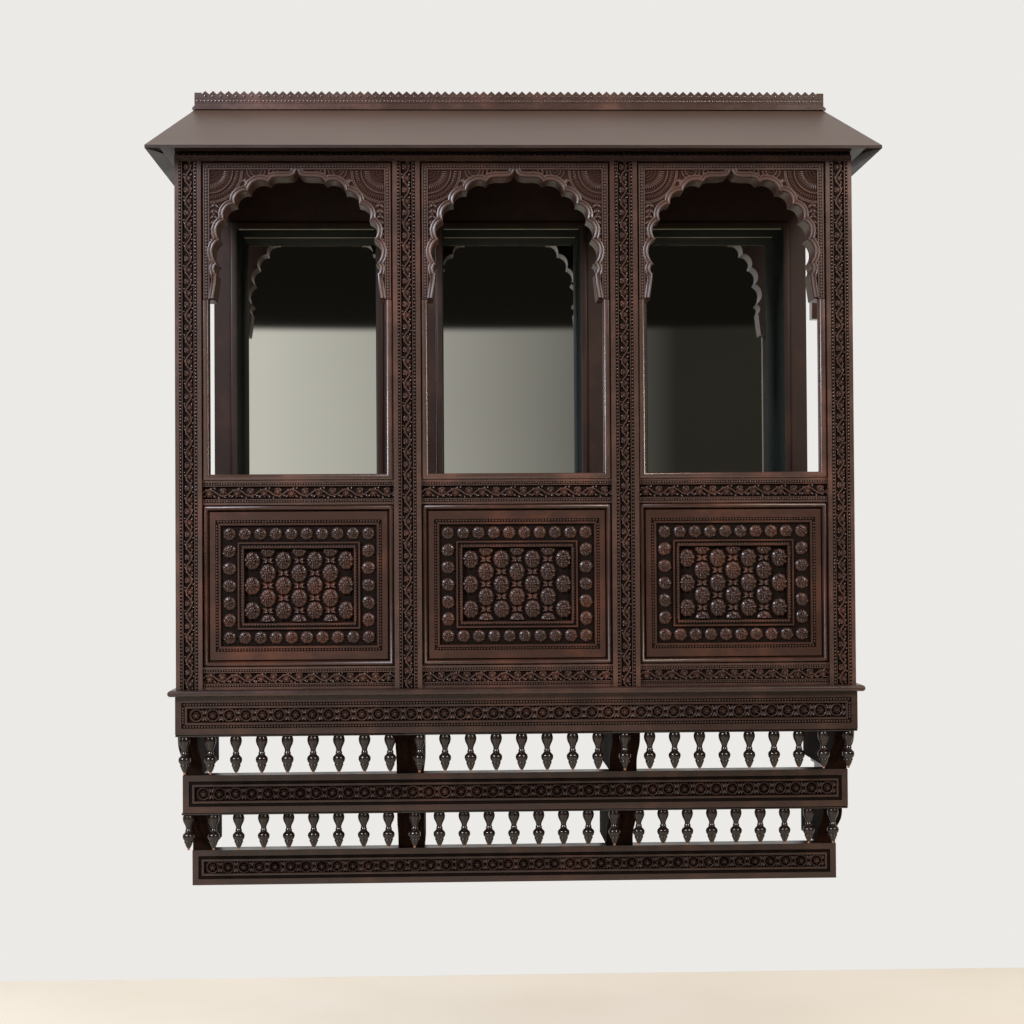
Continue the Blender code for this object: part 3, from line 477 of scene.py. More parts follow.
BEAD = bead_ornament()
VINE_FLOWER = flower_ornament(6, 0.74, ((0.20, 0.20, WOOD), (0.26, -0.20, WOOD), (0.10, 0.30, WOOD)))
LEAF = leaf_ornament()
FIELD_ROSETTE = petal_rosette(((9, 0.44, 0.36, 0.62, 0.42), (7, 0.12, 0.48, 0.46, 0.25)))
BORDER_ROSETTE = petal_rosette(((6, 0.38, 0.36, 0.68, 0.30), (5, 0.10, 0.48, 0.44, 0.20)))
TIER_RING = ring_ornament(1.0, 0.15, 18)


def bead_row(target, place, start, end, v, w, pitch, radius=BEAD_RADIUS):
    """Beads at an even pitch between two points of u."""
    count = max(1, round((end - start) / pitch))
    for index in range(count):
        u = start + (index + 0.5) * (end - start) / count
        stamp(target, BEAD, place @ spot(u, v, w, size=radius))


def bead_frame(target, place, half_u, half_v, w, pitch, radius=BEAD_RADIUS):
    """Beads round a rectangle about the board's middle."""
    for v in (-half_v, half_v):
        bead_row(target, place, -half_u, half_u, v, w, pitch, radius)
    turned = place @ Matrix.Rotation(math.radians(90), 4, "Z")
    for v in (-half_u, half_u):
        bead_row(target, turned, pitch - half_v, half_v - pitch, v, w, pitch, radius)


def vine(target, place, length, half_period, swing, flower_size, ground):
    """A stem that swings from side to side, with a flower in each bend and leaves between."""
    count = max(2, round(length / half_period))
    step = length / count
    lift = ground + 0.0030
    points = []
    for index in range(count * 6 + 1):
        u = index * length / (count * 6)
        points.append((u, swing * math.sin(math.pi * u / step), lift))
    add_bmesh(target, rib_bmesh(points, STEM_RADIUS, place))
    for index in range(count):
        side = 1 if index % 2 == 0 else -1
        u = (index + 0.5) * step
        stamp(target, VINE_FLOWER, place @ spot(u, -side * swing * 0.34, ground + flower_size * 0.36,
                                                turn=index * 0.7, size=flower_size))
        for lean in (-1, 1):
            turn = math.pi / 2 * -side + lean * 0.95
            foot = (u + lean * flower_size * 0.75, -side * swing * 0.75)
            stamp(target, LEAF, place @ spot(foot[0], foot[1], ground + 0.0035, turn=turn,
                                             size=flower_size * 0.85))
        for along in (-0.34, 0.02, 0.36):
            turn = math.pi * 0.16 * side + along * 2.6
            stamp(target, LEAF, place @ spot(u + step * along, side * swing * 1.05, ground + 0.0036,
                                             turn=turn, size=flower_size * 0.74))


def carved_band_section(half, bead_half, bead_centre, ground_half, thickness):
    """Half sections joined: plain edge, bead channel, fillet and cut ground."""
    side = [(half, -thickness), (half, 0.0), (bead_centre + bead_half, 0.0),
            (bead_centre + bead_half, -BEAD_SINK), (bead_centre - bead_half, -BEAD_SINK),
            (bead_centre - bead_half, 0.0), (ground_half, 0.0), (ground_half, -GROUND_DEPTH)]
    return side + [(-v, w) for v, w in reversed(side)]


def paint_ground_shade(mesh_data, place, depth, half):
    """Give the cut ground of a band its own darker material, painted shade in the recess."""
    mesh_data.normal_update()
    back = place.inverted()
    out = (place.to_3x3() @ Z_AXIS).normalized()
    # Faces sunk to the given depth take the painted shade.
    for face in mesh_data.faces:
        middle = back @ face.calc_center_median()
        if face.normal.dot(out) > 0.9 and abs(middle.z + depth) < 0.0005 and abs(middle.y) < half:
            face.material_index = GROUND


def build_band(name, node, place, length, half, edge_bead, ground_half, half_period, swing, flower,
               thickness, bead_pitch, material):
    """A board with two rows of beads and a vine between them."""
    channel_half = 0.0036
    section = carved_band_section(half, channel_half, edge_bead, ground_half, thickness)
    board = moulded_length(section, length, place)
    paint_ground_shade(board, place, GROUND_DEPTH, ground_half)
    paint_ground_shade(board, place, BEAD_SINK, half)
    for v in (-edge_bead, edge_bead):
        bead_row(board, place, 0.0, length, v, -BEAD_SINK + 0.0012, bead_pitch)
    vine(board, place, length, half_period, swing, flower, -GROUND_DEPTH)
    return finish_piece(name, board, (material, CUT_GROUND_SHADE), (node,))


def build_posts():
    for node in ("post_outer_left", "post_inner_1", "post_inner_2", "post_outer_right"):
        low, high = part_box(node)
        place = lay(Vector(((low.x + high.x) / 2, low.y, low.z)), Z_AXIS, -X_AXIS)
        build_band(node + "_carved", node, place, high.z - low.z, (high.x - low.x) / 2, edge_bead=0.0207,
                   ground_half=0.0152, half_period=0.031, swing=0.0078, flower=0.0098,
                   thickness=high.y - low.y, bead_pitch=0.0095, material=TEAK_UPRIGHT)


def build_rails():
    for bay in BAYS:
        for kind, period in (("sill_rail_", 0.0356), ("bottom_rail_", 0.0347)):
            node = kind + str(bay)
            low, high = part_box(node)
            place = lay(Vector((low.x, low.y, (low.z + high.z) / 2)), X_AXIS, Z_AXIS)
            half = (high.z - low.z) / 2
            build_band(node + "_carved", node, place, high.x - low.x, half, edge_bead=half - 0.0095,
                       ground_half=half - 0.0155, half_period=period, swing=0.0088, flower=0.0122,
                       thickness=high.y - low.y, bead_pitch=0.0070, material=TEAK_LEVEL)


# Tiers
TIER_BOARD = 0.020              # thickness of a tier's boards
TIER_RAIL = 0.055               # depth of the rail left in front of an open top


def build_tiers():
    for number in BAYS:
        node = "tier_%d" % number
        low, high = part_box(node)
        half_u = (high.x - low.x) / 2
        half_v = (high.z - low.z) / 2
        tier = box_bmesh(low, high)
        back = face_towards(tier, Y_AXIS)
        step_in(tier, back, ((TIER_BOARD, 0.0, WOOD), (0.0, TIER_BOARD - (high.y - low.y), WOOD)))
        face = face_towards(tier, -Y_AXIS)
        step_in(tier, face, ((0.0165, 0.0, WOOD), (0.0005, -BEAD_SINK, WOOD), (0.0085, 0.0, WOOD),
                             (0.0005, BEAD_SINK, WOOD), (0.0055, 0.0, WOOD), (0.0008, -0.0070, GROUND)))
        place = lay(Vector(((low.x + high.x) / 2, low.y, (low.z + high.z) / 2)), X_AXIS, Z_AXIS)
        paint_ground_shade(tier, place, BEAD_SINK, half_v)
        inset = 0.0213
        bead_frame(tier, place, half_u - inset, half_v - inset, 0.0014 - BEAD_SINK, 0.0078, 0.0036)
        end_margin = 0.034
        ring_pitch = 0.044
        reach = half_u - end_margin
        count = round(2 * reach / ring_pitch)
        pitch = 2 * reach / count
        for index in range(count):
            u = -reach + (index + 0.5) * pitch
            stamp(tier, TIER_RING, place @ spot(u, 0.0, -0.0036, size=0.0160))
            stamp(tier, VINE_FLOWER, place @ spot(u, 0.0, -0.0014, turn=index * 0.5, size=0.0112))
            for side in (-1, 1):
                for lean in (-1, 1):
                    stamp(tier, LEAF, place @ spot(u + pitch / 2, side * 0.0030, -0.0036, size=0.0150,
                                                   turn=side * math.pi / 2 + lean * 0.45))
        piece = finish_piece(node + "_carved", tier, (TEAK_TIER, CUT_GROUND_SHADE), (node,))
        if number > 1:
            open_top(piece, low, high)


def open_top(piece, low, high):
    """Cut the top away behind the front rail, as on the solids."""
    cutter_mesh = bpy.data.meshes.new("cutter")
    cutter = box_bmesh((low.x + 1.5 * TIER_BOARD, low.y + TIER_RAIL, high.z - 2 * TIER_BOARD),
                       (high.x - 1.5 * TIER_BOARD, high.y + TIER_BOARD, high.z + TIER_BOARD))
    cutter.to_mesh(cutter_mesh)
    cutter.free()
    holder = bpy.data.objects.new("cutter", cutter_mesh)
    bpy.context.scene.collection.objects.link(holder)
    modifier = piece.modifiers.new("open_top", "BOOLEAN")
    modifier.object = holder
    modifier.operation = "DIFFERENCE"
    modifier.solver = "EXACT"
    depsgraph = bpy.context.evaluated_depsgraph_get()
    cut = bpy.data.meshes.new_from_object(piece.evaluated_get(depsgraph))
    piece.modifiers.clear()
    piece.data = cut
    bpy.data.objects.remove(holder, do_unlink=True)


def build_ledge():
    low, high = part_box("ledge_board")
    ledge = box_bmesh(low, high)
    rim = [edge for edge in ledge.edges
           if abs(edge.verts[0].co.z - edge.verts[1].co.z) < 0.0001
           and not all(abs(vert.co.y - high.y) < 0.0001 for vert in edge.verts)]
    soften(ledge, rim, (high.z - low.z) * 0.47, 6)
    finish_piece("ledge_rounded", ledge, (TEAK_TIER,), ("ledge_board",))


# Lower panels
PANEL_RELIEF = 0.009            # the raised moulding stands this far before the flat frame
PANEL_WIDER = 0.0075            # the flat frame is this much wider at the top and bottom than at the sides
BORDER_DEPTH = 0.0070
FIELD_DEPTH = 0.0140
# How far inside the panel's sides each line runs, and PANEL_WIDER more from its top and bottom
OUTER_BEADS = 0.0375
BORDER_MIDDLE = 0.0705
INNER_BEADS = 0.1050
ROSETTE_CUT = 0.1140            # where the field's top and bottom rosettes are cut off
# Steps inwards, each a width, a rise and a finish
RAISED_MOULDING = [(0.0020, 0.0048, WOOD), (0.0022, 0.0030, WOOD), (0.0030, 0.0012, WOOD),
                   (0.0030, -0.0012, WOOD), (0.0022, -0.0030, WOOD), (0.0020, -0.0048, WOOD)]
GROOVE_AND_FRAME = [(0.0006, -0.0040, GROUND), (0.0030, 0.0, GROUND), (0.0006, 0.0040, WOOD),
                    (0.0148, 0.0, WOOD)]
BEAD_CHANNEL = [(0.0005, -BEAD_SINK, WOOD), (0.0072, 0.0, WOOD), (0.0005, BEAD_SINK, WOOD)]
BORDER = [(0.0054, 0.0, WOOD), (0.0008, -BORDER_DEPTH, GROUND), (0.0445, 0.0, GROUND),
          (0.0008, BORDER_DEPTH, WOOD), (0.0040, 0.0, WOOD)]
FIELD = [(0.0040, 0.0, WOOD), (0.0010, -FIELD_DEPTH, GROUND)]
BORDER_ROSETTE_SIZE = 0.0190
BORDER_ROSETTE_SINK = 0.0068    # middle of its dome behind the panel's face
ROSETTE_SIZE = 0.0235
ROSETTE_STRETCH = 1.15
ROSETTE_FOOT = 0.0035           # middle of a rosette's dome above the field


def build_lower_panels():
    for bay in BAYS:
        node = "lower_panel_%d" % bay
        low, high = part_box(node)
        face_y = low.y + PANEL_RELIEF
        half_u = (high.x - low.x) / 2
        half_v = (high.z - low.z) / 2
        panel = box_bmesh((low.x, face_y, low.z), high)
        face = face_towards(panel, -Y_AXIS)
        step_in(panel, face, RAISED_MOULDING + GROOVE_AND_FRAME)
        for vert in face.verts:
            vert.co.z += PANEL_WIDER if vert.co.z < (low.z + high.z) / 2 else -PANEL_WIDER
        step_in(panel, face, BEAD_CHANNEL + BORDER + BEAD_CHANNEL + FIELD)
        place = lay(Vector(((low.x + high.x) / 2, face_y, (low.z + high.z) / 2)), X_AXIS, Z_AXIS)
        paint_ground_shade(panel, place, BORDER_DEPTH, half_u)
        paint_ground_shade(panel, place, BEAD_SINK, half_u)
        inner_v = half_v - PANEL_WIDER
        for line, pitch in ((OUTER_BEADS, 0.0080), (INNER_BEADS, 0.0078)):
            bead_frame(panel, place, half_u - line, inner_v - line, 0.0014 - BEAD_SINK, pitch, 0.0034)
        border_rosettes(panel, place, half_u - BORDER_MIDDLE, inner_v - BORDER_MIDDLE)
        field_rosettes(panel, place, -FIELD_DEPTH, inner_v - ROSETTE_CUT)
        finish_piece(node + "_carved", panel, (TEAK_RED, CUT_GROUND_SHADE), (node,))


def border_rosettes(panel, place, reach_u, reach_v):
    """Curled-petal rosettes that nearly touch, ten across and five down each side."""
    places = []
    for index in range(10):
        u = -reach_u + index * 2 * reach_u / 9
        places += [(u, -reach_v, 1.0), (u, reach_v, 1.0)]
    for index in range(1, 6):
        v = -reach_v + index * 2 * reach_v / 6
        places += [(-reach_u, v, 1.1), (reach_u, v, 1.1)]
    for index, (u, v, stretch) in enumerate(places):
        middle = spot(u, v, -BORDER_ROSETTE_SINK, turn=index * 0.3, size=BORDER_ROSETTE_SIZE,
                      stretch=stretch)
        stamp(panel, BORDER_ROSETTE, place @ middle)


def field_rosettes(panel, place, ground, half_v):
    """Domed rosettes in staggered rows, cut by the top and bottom edges, with four-armed stars between."""
    pitch_u = 0.0845
    pitch_v = 0.0339
    for row in range(-3, 4):
        count = 4 if row % 2 == 0 else 3
        for column in range(count):
            u = (column - (count - 1) / 2) * pitch_u
            v = row * pitch_v
            if abs(row) == 3:
                half_rosette(panel, place, u, v, ground, half_v)
            else:
                stamp(panel, FIELD_ROSETTE, place @ spot(u, v, ground + ROSETTE_FOOT, size=ROSETTE_SIZE,
                                                         stretch=ROSETTE_STRETCH))
            if column and abs(row) < 3:
                middle = u - pitch_u / 2
                for turn in (0.45, -0.45, math.pi - 0.45, math.pi + 0.45):
                    stamp(panel, LEAF, place @ spot(middle, v, ground + 0.0045, turn=turn, size=0.0165))


def half_rosette(panel, place, u, v, ground, half_v):
    """A rosette that the edge of the field cuts off."""
    shape = bmesh.new()
    shape.from_mesh(FIELD_ROSETTE)
    bmesh.ops.transform(shape, matrix=spot(u, v, ground + ROSETTE_FOOT, size=ROSETTE_SIZE,
                                           stretch=ROSETTE_STRETCH), verts=shape.verts)
    edge = half_v if v > 0 else -half_v
    everything = shape.verts[:] + shape.edges[:] + shape.faces[:]
    bmesh.ops.bisect_plane(shape, geom=everything, plane_co=(0, edge, 0), plane_no=(0, edge, 0),
                           clear_outer=True)
    bmesh.ops.holes_fill(shape, edges=[item for item in shape.edges if item.is_boundary], sides=0)
    bmesh.ops.transform(shape, matrix=place, verts=shape.verts)
    add_bmesh(panel, shape)


# Arches
ARC_STEPS = 7
LOBE_RISE = 0.27
CUSP_HEIGHT = 0.3715
ARCH_GROUND = 0.005             # the spandrels' ground behind their border
ARCH_BORDER = 0.0134            # bead line inside the panel's edge
ARCH_BEADS = (-0.0012, 0.0084, 0.0036)          # place out of the board, pitch and radius
# An inner roll, a filled hollow and an outer ridge: distance from the cusps, radius, place out of the board
ARCH_ROLLS = ((0.0042, 0.0042, -0.0008), (0.0085, 0.0048, -0.0050), (0.0128, 0.0032, -0.0012))
# Rings of rays, each a count, where they start and end and half their width, and the plain arcs' radii
CORNER_RAYS = ((5, 0.008, 0.014, 0.0016), (7, 0.0165, 0.0225, 0.0017), (9, 0.025, 0.031, 0.0018),
               (13, 0.035, 0.055, 0.0026), (19, 0.068, 0.079, 0.0025))
CORNER_ARCS = (0.0615, 0.0845, 0.0885)
HALF_FAN_RAYS = ((7, 0.004, 0.013, 0.0016), (11, 0.0165, 0.0225, 0.0020))
HALF_FAN_ARCS = (0.0148, 0.0245)


def arc_between(start, end, rise):
    start = Vector(start)
    end = Vector(end)
    chord = end - start
    normal = Vector((-chord.y, chord.x))
    half_angle = 2 * math.atan(2 * rise)
    points = []
    for step in range(ARC_STEPS):
        angle = half_angle * (2 * step / ARC_STEPS - 1)
        along = 0.5 + math.sin(angle) / (2 * math.sin(half_angle))
        out = (math.cos(angle) - math.cos(half_angle)) / (2 * math.sin(half_angle))
        points.append(tuple(start + chord * along + normal * out))
    return points


def cusp_half(half_width, height):
    """Right half of the cusped arch from its apex to its foot, on the same shares as the solids."""
    tips = ((0.300, 0.861), (0.509, 0.794), (0.648, 0.700), (0.757, 0.582), (0.805, 0.440), (0.824, 0.263),
            (0.838, 0.185))
    ogee = ((0.0, 0.948), (0.019, 0.921), (0.054, 0.903), (0.116, 0.897), (0.213, 0.897), (0.263, 0.890))
    points = [(x * half_width, y * height) for x, y in ogee]
    scaled = [(x * half_width, y * height) for x, y in tips]
    for start, end in zip(scaled, scaled[1:]):
        points += arc_between(start, end, LOBE_RISE)
    points.append(scaled[-1])
    points.append((0.852 * half_width, 0.09 * height))
    points.append((0.870 * half_width, 0.0))
    return points


def outside(points, distance):
    """The same path moved off its left side by a distance."""
    moved = []
    for index, point in enumerate(points):
        before = Vector(points[max(index - 1, 0)])
        after = Vector(points[min(index + 1, len(points) - 1)])
        run = (after - before).normalized()
        moved.append(tuple(Vector(point) + Vector((-run.y, run.x)) * distance))
    return moved


def build_arches():
    for bay in BAYS:
        node = "arch_panel_%d" % bay
        low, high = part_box(node)
        centre = (low.x + high.x) / 2
        half = (high.x - low.x) / 2
        height = high.z - low.z
        front = low.y + 0.004
        place = lay(Vector((centre, front, low.z)), X_AXIS, Z_AXIS)
        right = cusp_half(half, CUSP_HEIGHT)
        cusps = [(-x, y) for x, y in reversed(right[1:])] + right
        outline = cusps + [(half, 0.0), (half, height), (-half, height), (-half, 0.0)]
        thickness = high.y - front - ARCH_GROUND
        arch = outline_bmesh(outline, thickness)
        bmesh.ops.translate(arch, vec=(0, 0, -ARCH_GROUND - thickness / 2), verts=arch.verts)
        bmesh.ops.transform(arch, matrix=place, verts=arch.verts)
        bmesh.ops.recalc_face_normals(arch, faces=arch.faces)
        paint_ground_shade(arch, place, ARCH_GROUND, height)
        for distance, radius, lift in ARCH_ROLLS:
            path = [(x, max(y, 0.0045), lift) for x, y in outside(right, distance)]
            for flip in (1, -1):
                side_path = [(flip * max(x, 0.0012), y, w) for x, y, w in path]
                add_bmesh(arch, rib_bmesh(side_path, radius, place, roundness=2))
        arch_corner(arch, place, half, height)
        finish_piece(node + "_carved", arch, (TEAK_ARCH, SPANDREL_GROUND_SHADE), (node,))


def arch_corner(arch, place, half, height):
    """Both spandrels: bead border, quarter fan with its arcs, half fan, leaf scrolls and buds."""
    for near, far, top in ((0.0050, 0.0084, 0.0), (0.0084, 0.0184, -BEAD_SINK), (0.0184, 0.0216, 0.0)):
        slab(arch, place, (near - half, height - far, -0.0070), (half - near, height - near, top))
        for flip in (-1, 1):
            left, right = sorted((flip * (half - near), flip * (half - far)))
            slab(arch, place, (left, 0.0020, -0.0070), (right, height - far, top))
    bead_row(arch, place, ARCH_BORDER - half, half - ARCH_BORDER, height - ARCH_BORDER, *ARCH_BEADS)
    for flip in (-1, 1):
        upright = place @ Matrix.Rotation(math.radians(90), 4, "Z")
        bead_row(arch, upright, 0.004, height - 0.0190, -flip * (half - ARCH_BORDER), *ARCH_BEADS)
        start = math.pi if flip > 0 else math.pi * 1.5
        corner_hub = Vector((flip * (half - 0.0230), height - 0.0245))
        fan(arch, place, corner_hub, start, math.pi / 2, CORNER_RAYS, CORNER_ARCS)
        half_fan_hub = Vector((flip * (half - 0.1477), height - 0.0235))
        fan(arch, place, half_fan_hub, math.pi, math.pi, HALF_FAN_RAYS, HALF_FAN_ARCS)
        spandrel_leaves(arch, place, half, height, flip)


def slab(target, place, low, high):
    """A square-edged strip on a board, between two corners in u, v and w."""
    strip = box_bmesh(low, high)
    bmesh.ops.transform(strip, matrix=place, verts=strip.verts)
    add_bmesh(target, strip)


def fan(arch, place, hub, start, sweep, rays, arcs):
    """Rings of long beads that spread from a hub, and plain arcs round them."""
    for count, near, far, width in rays:
        middle = (near + far) / 2
        for index in range(count):
            angle = start + sweep * (index + 0.5) / count
            u = hub.x + middle * math.cos(angle)
            v = hub.y + middle * math.sin(angle)
            stretched = Matrix.Diagonal(((far - near) / 2, width, 0.0056, 1.0))
            stamp(arch, BEAD, place @ (spot(u, v, -ARCH_GROUND, turn=angle) @ stretched))
    for radius in arcs:
        arc = [(hub.x + radius * math.cos(start + sweep * step / 20),
                hub.y + radius * math.sin(start + sweep * step / 20), -0.0026) for step in range(21)]
        add_bmesh(arch, rib_bmesh(arc, 0.0019, place, roundness=1))


def spandrel_leaves(arch, place, half, height, flip):
    """Leaf scrolls beside the half fan and down the side, then buds and a ring with a tail."""
    lift = 0.0030 - ARCH_GROUND
    for index, size in enumerate((0.0100, 0.0080, 0.0060)):
        u = flip * (half - 0.180 - index * 0.0120)
        for lean in (-1, 1):
            turn = math.pi / 2 * (1 + flip) + lean * 0.8
            stamp(arch, LEAF, place @ spot(u, height - 0.0275, lift, turn=turn, size=size))
    for lean in (-0.5, 0.3, 1.1):
        stamp(arch, LEAF, place @ spot(flip * (half - 0.1206), height - 0.0480, lift, size=0.0150,
                                       turn=-math.pi / 2 + flip * lean))
    for index in range(8):
        v = height - 0.1150 - index * 0.0155
        u = flip * (half - 0.0350 + index * 0.0009)
        for lean in (-1, 1):
            stamp(arch, LEAF, place @ spot(u, v, lift, turn=-math.pi / 2 + lean * 0.85,
                                           size=0.0165 - index * 0.0010))
        if index % 2 == 0:
            bud = spot(u, v + 0.0030, lift + 0.0012, size=0.0075 - index * 0.0004)
            stamp(arch, VINE_FLOWER, place @ bud)
    side = flip * (half - 0.0275)
    for v in (0.122, 0.108, 0.094):
        stamp(arch, BEAD, place @ spot(side, v, lift, size=0.0036))
    stamp(arch, TIER_RING, place @ spot(side, 0.076, lift, size=0.0048))
    stamp(arch, LEAF, place @ spot(side, 0.070, lift, turn=-math.pi / 2, size=0.0150))


# Openings and mirrors
def build_opening_mouldings():
    for bay in BAYS:
        node = "opening_moulding_%d" % bay
        low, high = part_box(node)
        width = 0.0197
        sill = 0.0167
        outline = [(low.x, high.z), (low.x, low.z), (high.x, low.z), (high.x, high.z),
                   (high.x - width, high.z), (high.x - width, low.z + sill),
                   (low.x + width, low.z + sill), (low.x + width, high.z)]
        moulding = outline_bmesh(outline, high.y - low.y)
        place = lay(Vector((0, (low.y + high.y) / 2, 0)), X_AXIS, Z_AXIS)
        bmesh.ops.transform(moulding, matrix=place, verts=moulding.verts)
        bmesh.ops.dissolve_limit(moulding, angle_limit=0.01, verts=moulding.verts, edges=moulding.edges)
        rim = [edge for edge in moulding.edges
               if all(abs(vert.co.y - low.y) < 0.0001 for vert in edge.verts)
               and min(vert.co.z for vert in edge.verts) < high.z - 0.001]
        soften(moulding, rim, 0.0074, 6)
        finish_piece(node + "_rounded", moulding, (TEAK_UPRIGHT,), (node,))


def build_mirror_boxes():
    for bay in BAYS:
        node = "mirror_box_%d" % bay
        low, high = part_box(node)
        wall = 0.021
        floor = 0.012
        case = box_bmesh(low, high)
        face = face_towards(case, -Y_AXIS)
        step_in(case, face, ((wall, 0.0, WOOD), (0.0, floor - (high.y - low.y), WOOD)))
        rim = [edge for edge in case.edges
               if all(abs(vert.co.y - low.y) < 0.0001 for vert in edge.verts)
               and not (abs(edge.verts[0].co.x - edge.verts[1].co.x) > 0.001
                        and abs(edge.verts[0].co.z - edge.verts[1].co.z) > 0.001)]
        soften(case, rim, 0.0064, 5)
        # The box's inner walls take the near-black lining: painted shade inside the box.
        for part in case.faces:
            middle = part.calc_center_median()
            within_x = low.x + wall * 0.9 < middle.x < high.x - wall * 0.9
            within_z = low.z + wall * 0.9 < middle.z < high.z - wall * 0.9
            if within_x and within_z and middle.y < high.y - floor / 2:
                part.material_index = GROUND
        # Pale lines as painted light: a painted highlight behind the rim's rounding, and a painted
        # reflection of it where the glass meets the top.
        glass_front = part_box("mirror_%d" % bay)[0].y
        top = high.z - wall - 0.0008
        for y in (low.y + 0.0080, glass_front - 0.0014):
            ends = [(low.x + wall + 0.004, y, top), (high.x - wall - 0.004, y, top)]
            edge = rib_bmesh(ends, 0.0011, Matrix.Identity(4))
            for part in edge.faces:
                part.material_index = HIGHLIGHT_SLOT
            add_bmesh(case, edge)
        finish_piece(node + "_rounded", case, (TEAK_BACK_SHADE, BOX_LINING_SHADE, HIGHLIGHT_EDGE), (node,))


# Pendants and consoles
def pendant_ornament(length):
    """Turned pendant hanging from the origin: bulb, waist with rings, ringed belly, taper and bare peg."""
    radius = 0.0165
    profile = ((0.00, 0.00), (0.80, 0.00), (0.88, 0.040), (0.97, 0.090), (0.96, 0.150), (0.84, 0.220),
               (0.62, 0.290), (0.48, 0.350), (0.44, 0.390), (0.46, 0.425), (0.55, 0.440), (0.55, 0.475),
               (0.50, 0.485), (0.62, 0.510), (0.72, 0.530), (0.92, 0.560), (1.00, 0.600), (1.00, 0.640),
               (0.90, 0.690), (0.72, 0.730), (0.68, 0.750), (0.74, 0.758), (0.74, 0.785), (0.66, 0.795),
               (0.55, 0.850), (0.42, 0.900), (0.26, 0.945), (0.20, 0.950), (0.20, 1.000), (0.00, 1.000))
    line = bmesh.new()
    corners = [line.verts.new((share * radius, 0, -depth * length)) for share, depth in profile]
    for first, second in zip(corners, corners[1:]):
        line.edges.new((first, second))
    bmesh.ops.spin(line, geom=line.verts[:] + line.edges[:], cent=(0, 0, 0), axis=(0, 0, 1), angle=math.tau,
                   steps=16, use_merge=True)
    bmesh.ops.remove_doubles(line, verts=line.verts, dist=0.00001)
    for face in line.faces:
        if face.calc_center_median().z < -0.96 * length:
            face.material_index = GROUND
    return keep_mesh(line, "pendant")


# Pendants on a row's three battens, and the first and last of each as shares of the tier's half width
PENDANT_COUNTS = (9, 8, 10)
PENDANT_SPANS = (((-0.976, -0.376), (-0.290, 0.235), (0.314, 0.976)),
                 ((-0.986, -0.387), (-0.309, 0.215), (0.294, 0.958)))


def build_pendants():
    for row in (1, 2):
        tier_low, tier_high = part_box("tier_%d" % row)
        axis_y = tier_low.y + 0.020
        for bay in BAYS:
            first, last = [share * tier_high.x for share in PENDANT_SPANS[row - 1][bay - 1]]
            count = PENDANT_COUNTS[bay - 1]
            node = "pendants_%d_%d" % (row, bay)
            low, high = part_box(node)
            batten = 0.006
            turned = box_bmesh((low.x, axis_y - 0.017, high.z - batten), (high.x, axis_y + 0.017, high.z))
            soften(turned, turned.edges[:], 0.0008, 2)
            shape = pendant_ornament(high.z - batten - low.z)
            for index in range(count):
                u = first + (last - first) * index / (count - 1)
                stamp(turned, shape, Matrix.Translation((u, axis_y, high.z - batten)))
            finish_piece(node + "_turned", turned, (TEAK_TURNED, PEG_TAN), (node,),
                         angle=math.radians(60))


def build_consoles():
    for row in (1, 2):
        for number in (1, 2, 3, 4):
            node = "console_%d_%d" % (row, number)
            low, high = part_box(node)
            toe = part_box("tier_%d" % (row + 1))[0].y + 0.010
            height = high.z - low.z
            lip = height * 0.16
            outline = [(-high.y, high.z), (-low.y, high.z), (-low.y, high.z - lip)]
            curve = []
            for step in range(1, 20):
                share = step / 20
                sweep = share - math.sin(math.tau * share) * 0.10
                curve.append((-(low.y + (toe - low.y) * sweep), high.z - lip - (height - 2 * lip) * share))
            outline += curve + [(-toe, low.z + lip), (-toe, low.z), (-high.y, low.z)]
            block = outline_bmesh([(-y, z) for y, z in outline], high.x - low.x)
            middle = (low.x + high.x) / 2
            place = lay(Vector((middle, 0, 0)), Y_AXIS, Z_AXIS)
            bmesh.ops.transform(block, matrix=place, verts=block.verts)
            for offset in (-0.30, 0.0, 0.30):
                for y, z in curve[1::2]:
                    centre = Matrix.Translation((middle + offset * (high.x - low.x), -y, z))
                    stamp(block, BEAD, centre @ Matrix.Scale(0.0036 if offset else 0.0058, 4))
            for edge_x in (low.x + 0.004, high.x - 0.004):
                path = [(edge_x, -y, z) for y, z in curve]
                add_bmesh(block, rib_bmesh(path, 0.0022, Matrix.Identity(4)))
            finish_piece(node + "_carved", block, (TEAK_BRACKET_SHADE,), (node,))


# Roof
def build_cresting():
    """A bead in each tooth, and a bead band between two thin lines, on the solid board."""
    low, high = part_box("cresting_board")
    half = 0.908
    front = low.y + 0.006
    place = lay(Vector((0, front, high.z)), X_AXIS, Z_AXIS)
    trim = bmesh.new()
    teeth = 80
    margin = 0.020
    pitch = 2 * (half - margin) / teeth
    for index in range(teeth):
        u = -half + margin + (index + 0.5) * pitch
        stamp(trim, BEAD, place @ spot(u, -0.0150, 0.0004, size=0.0038))
    bead_row(trim, place, 0.004 - half, half - 0.004, -0.0290, 0.0002, 0.0105, 0.0036)
    for v in (-0.0222, -0.0350):
        line = [(0.002 - half, v, 0.0), (half - 0.002, v, 0.0)]
        add_bmesh(trim, rib_bmesh(line, 0.0011, place))
    finish_piece("cresting_carving", trim, (TEAK_LEVEL,))


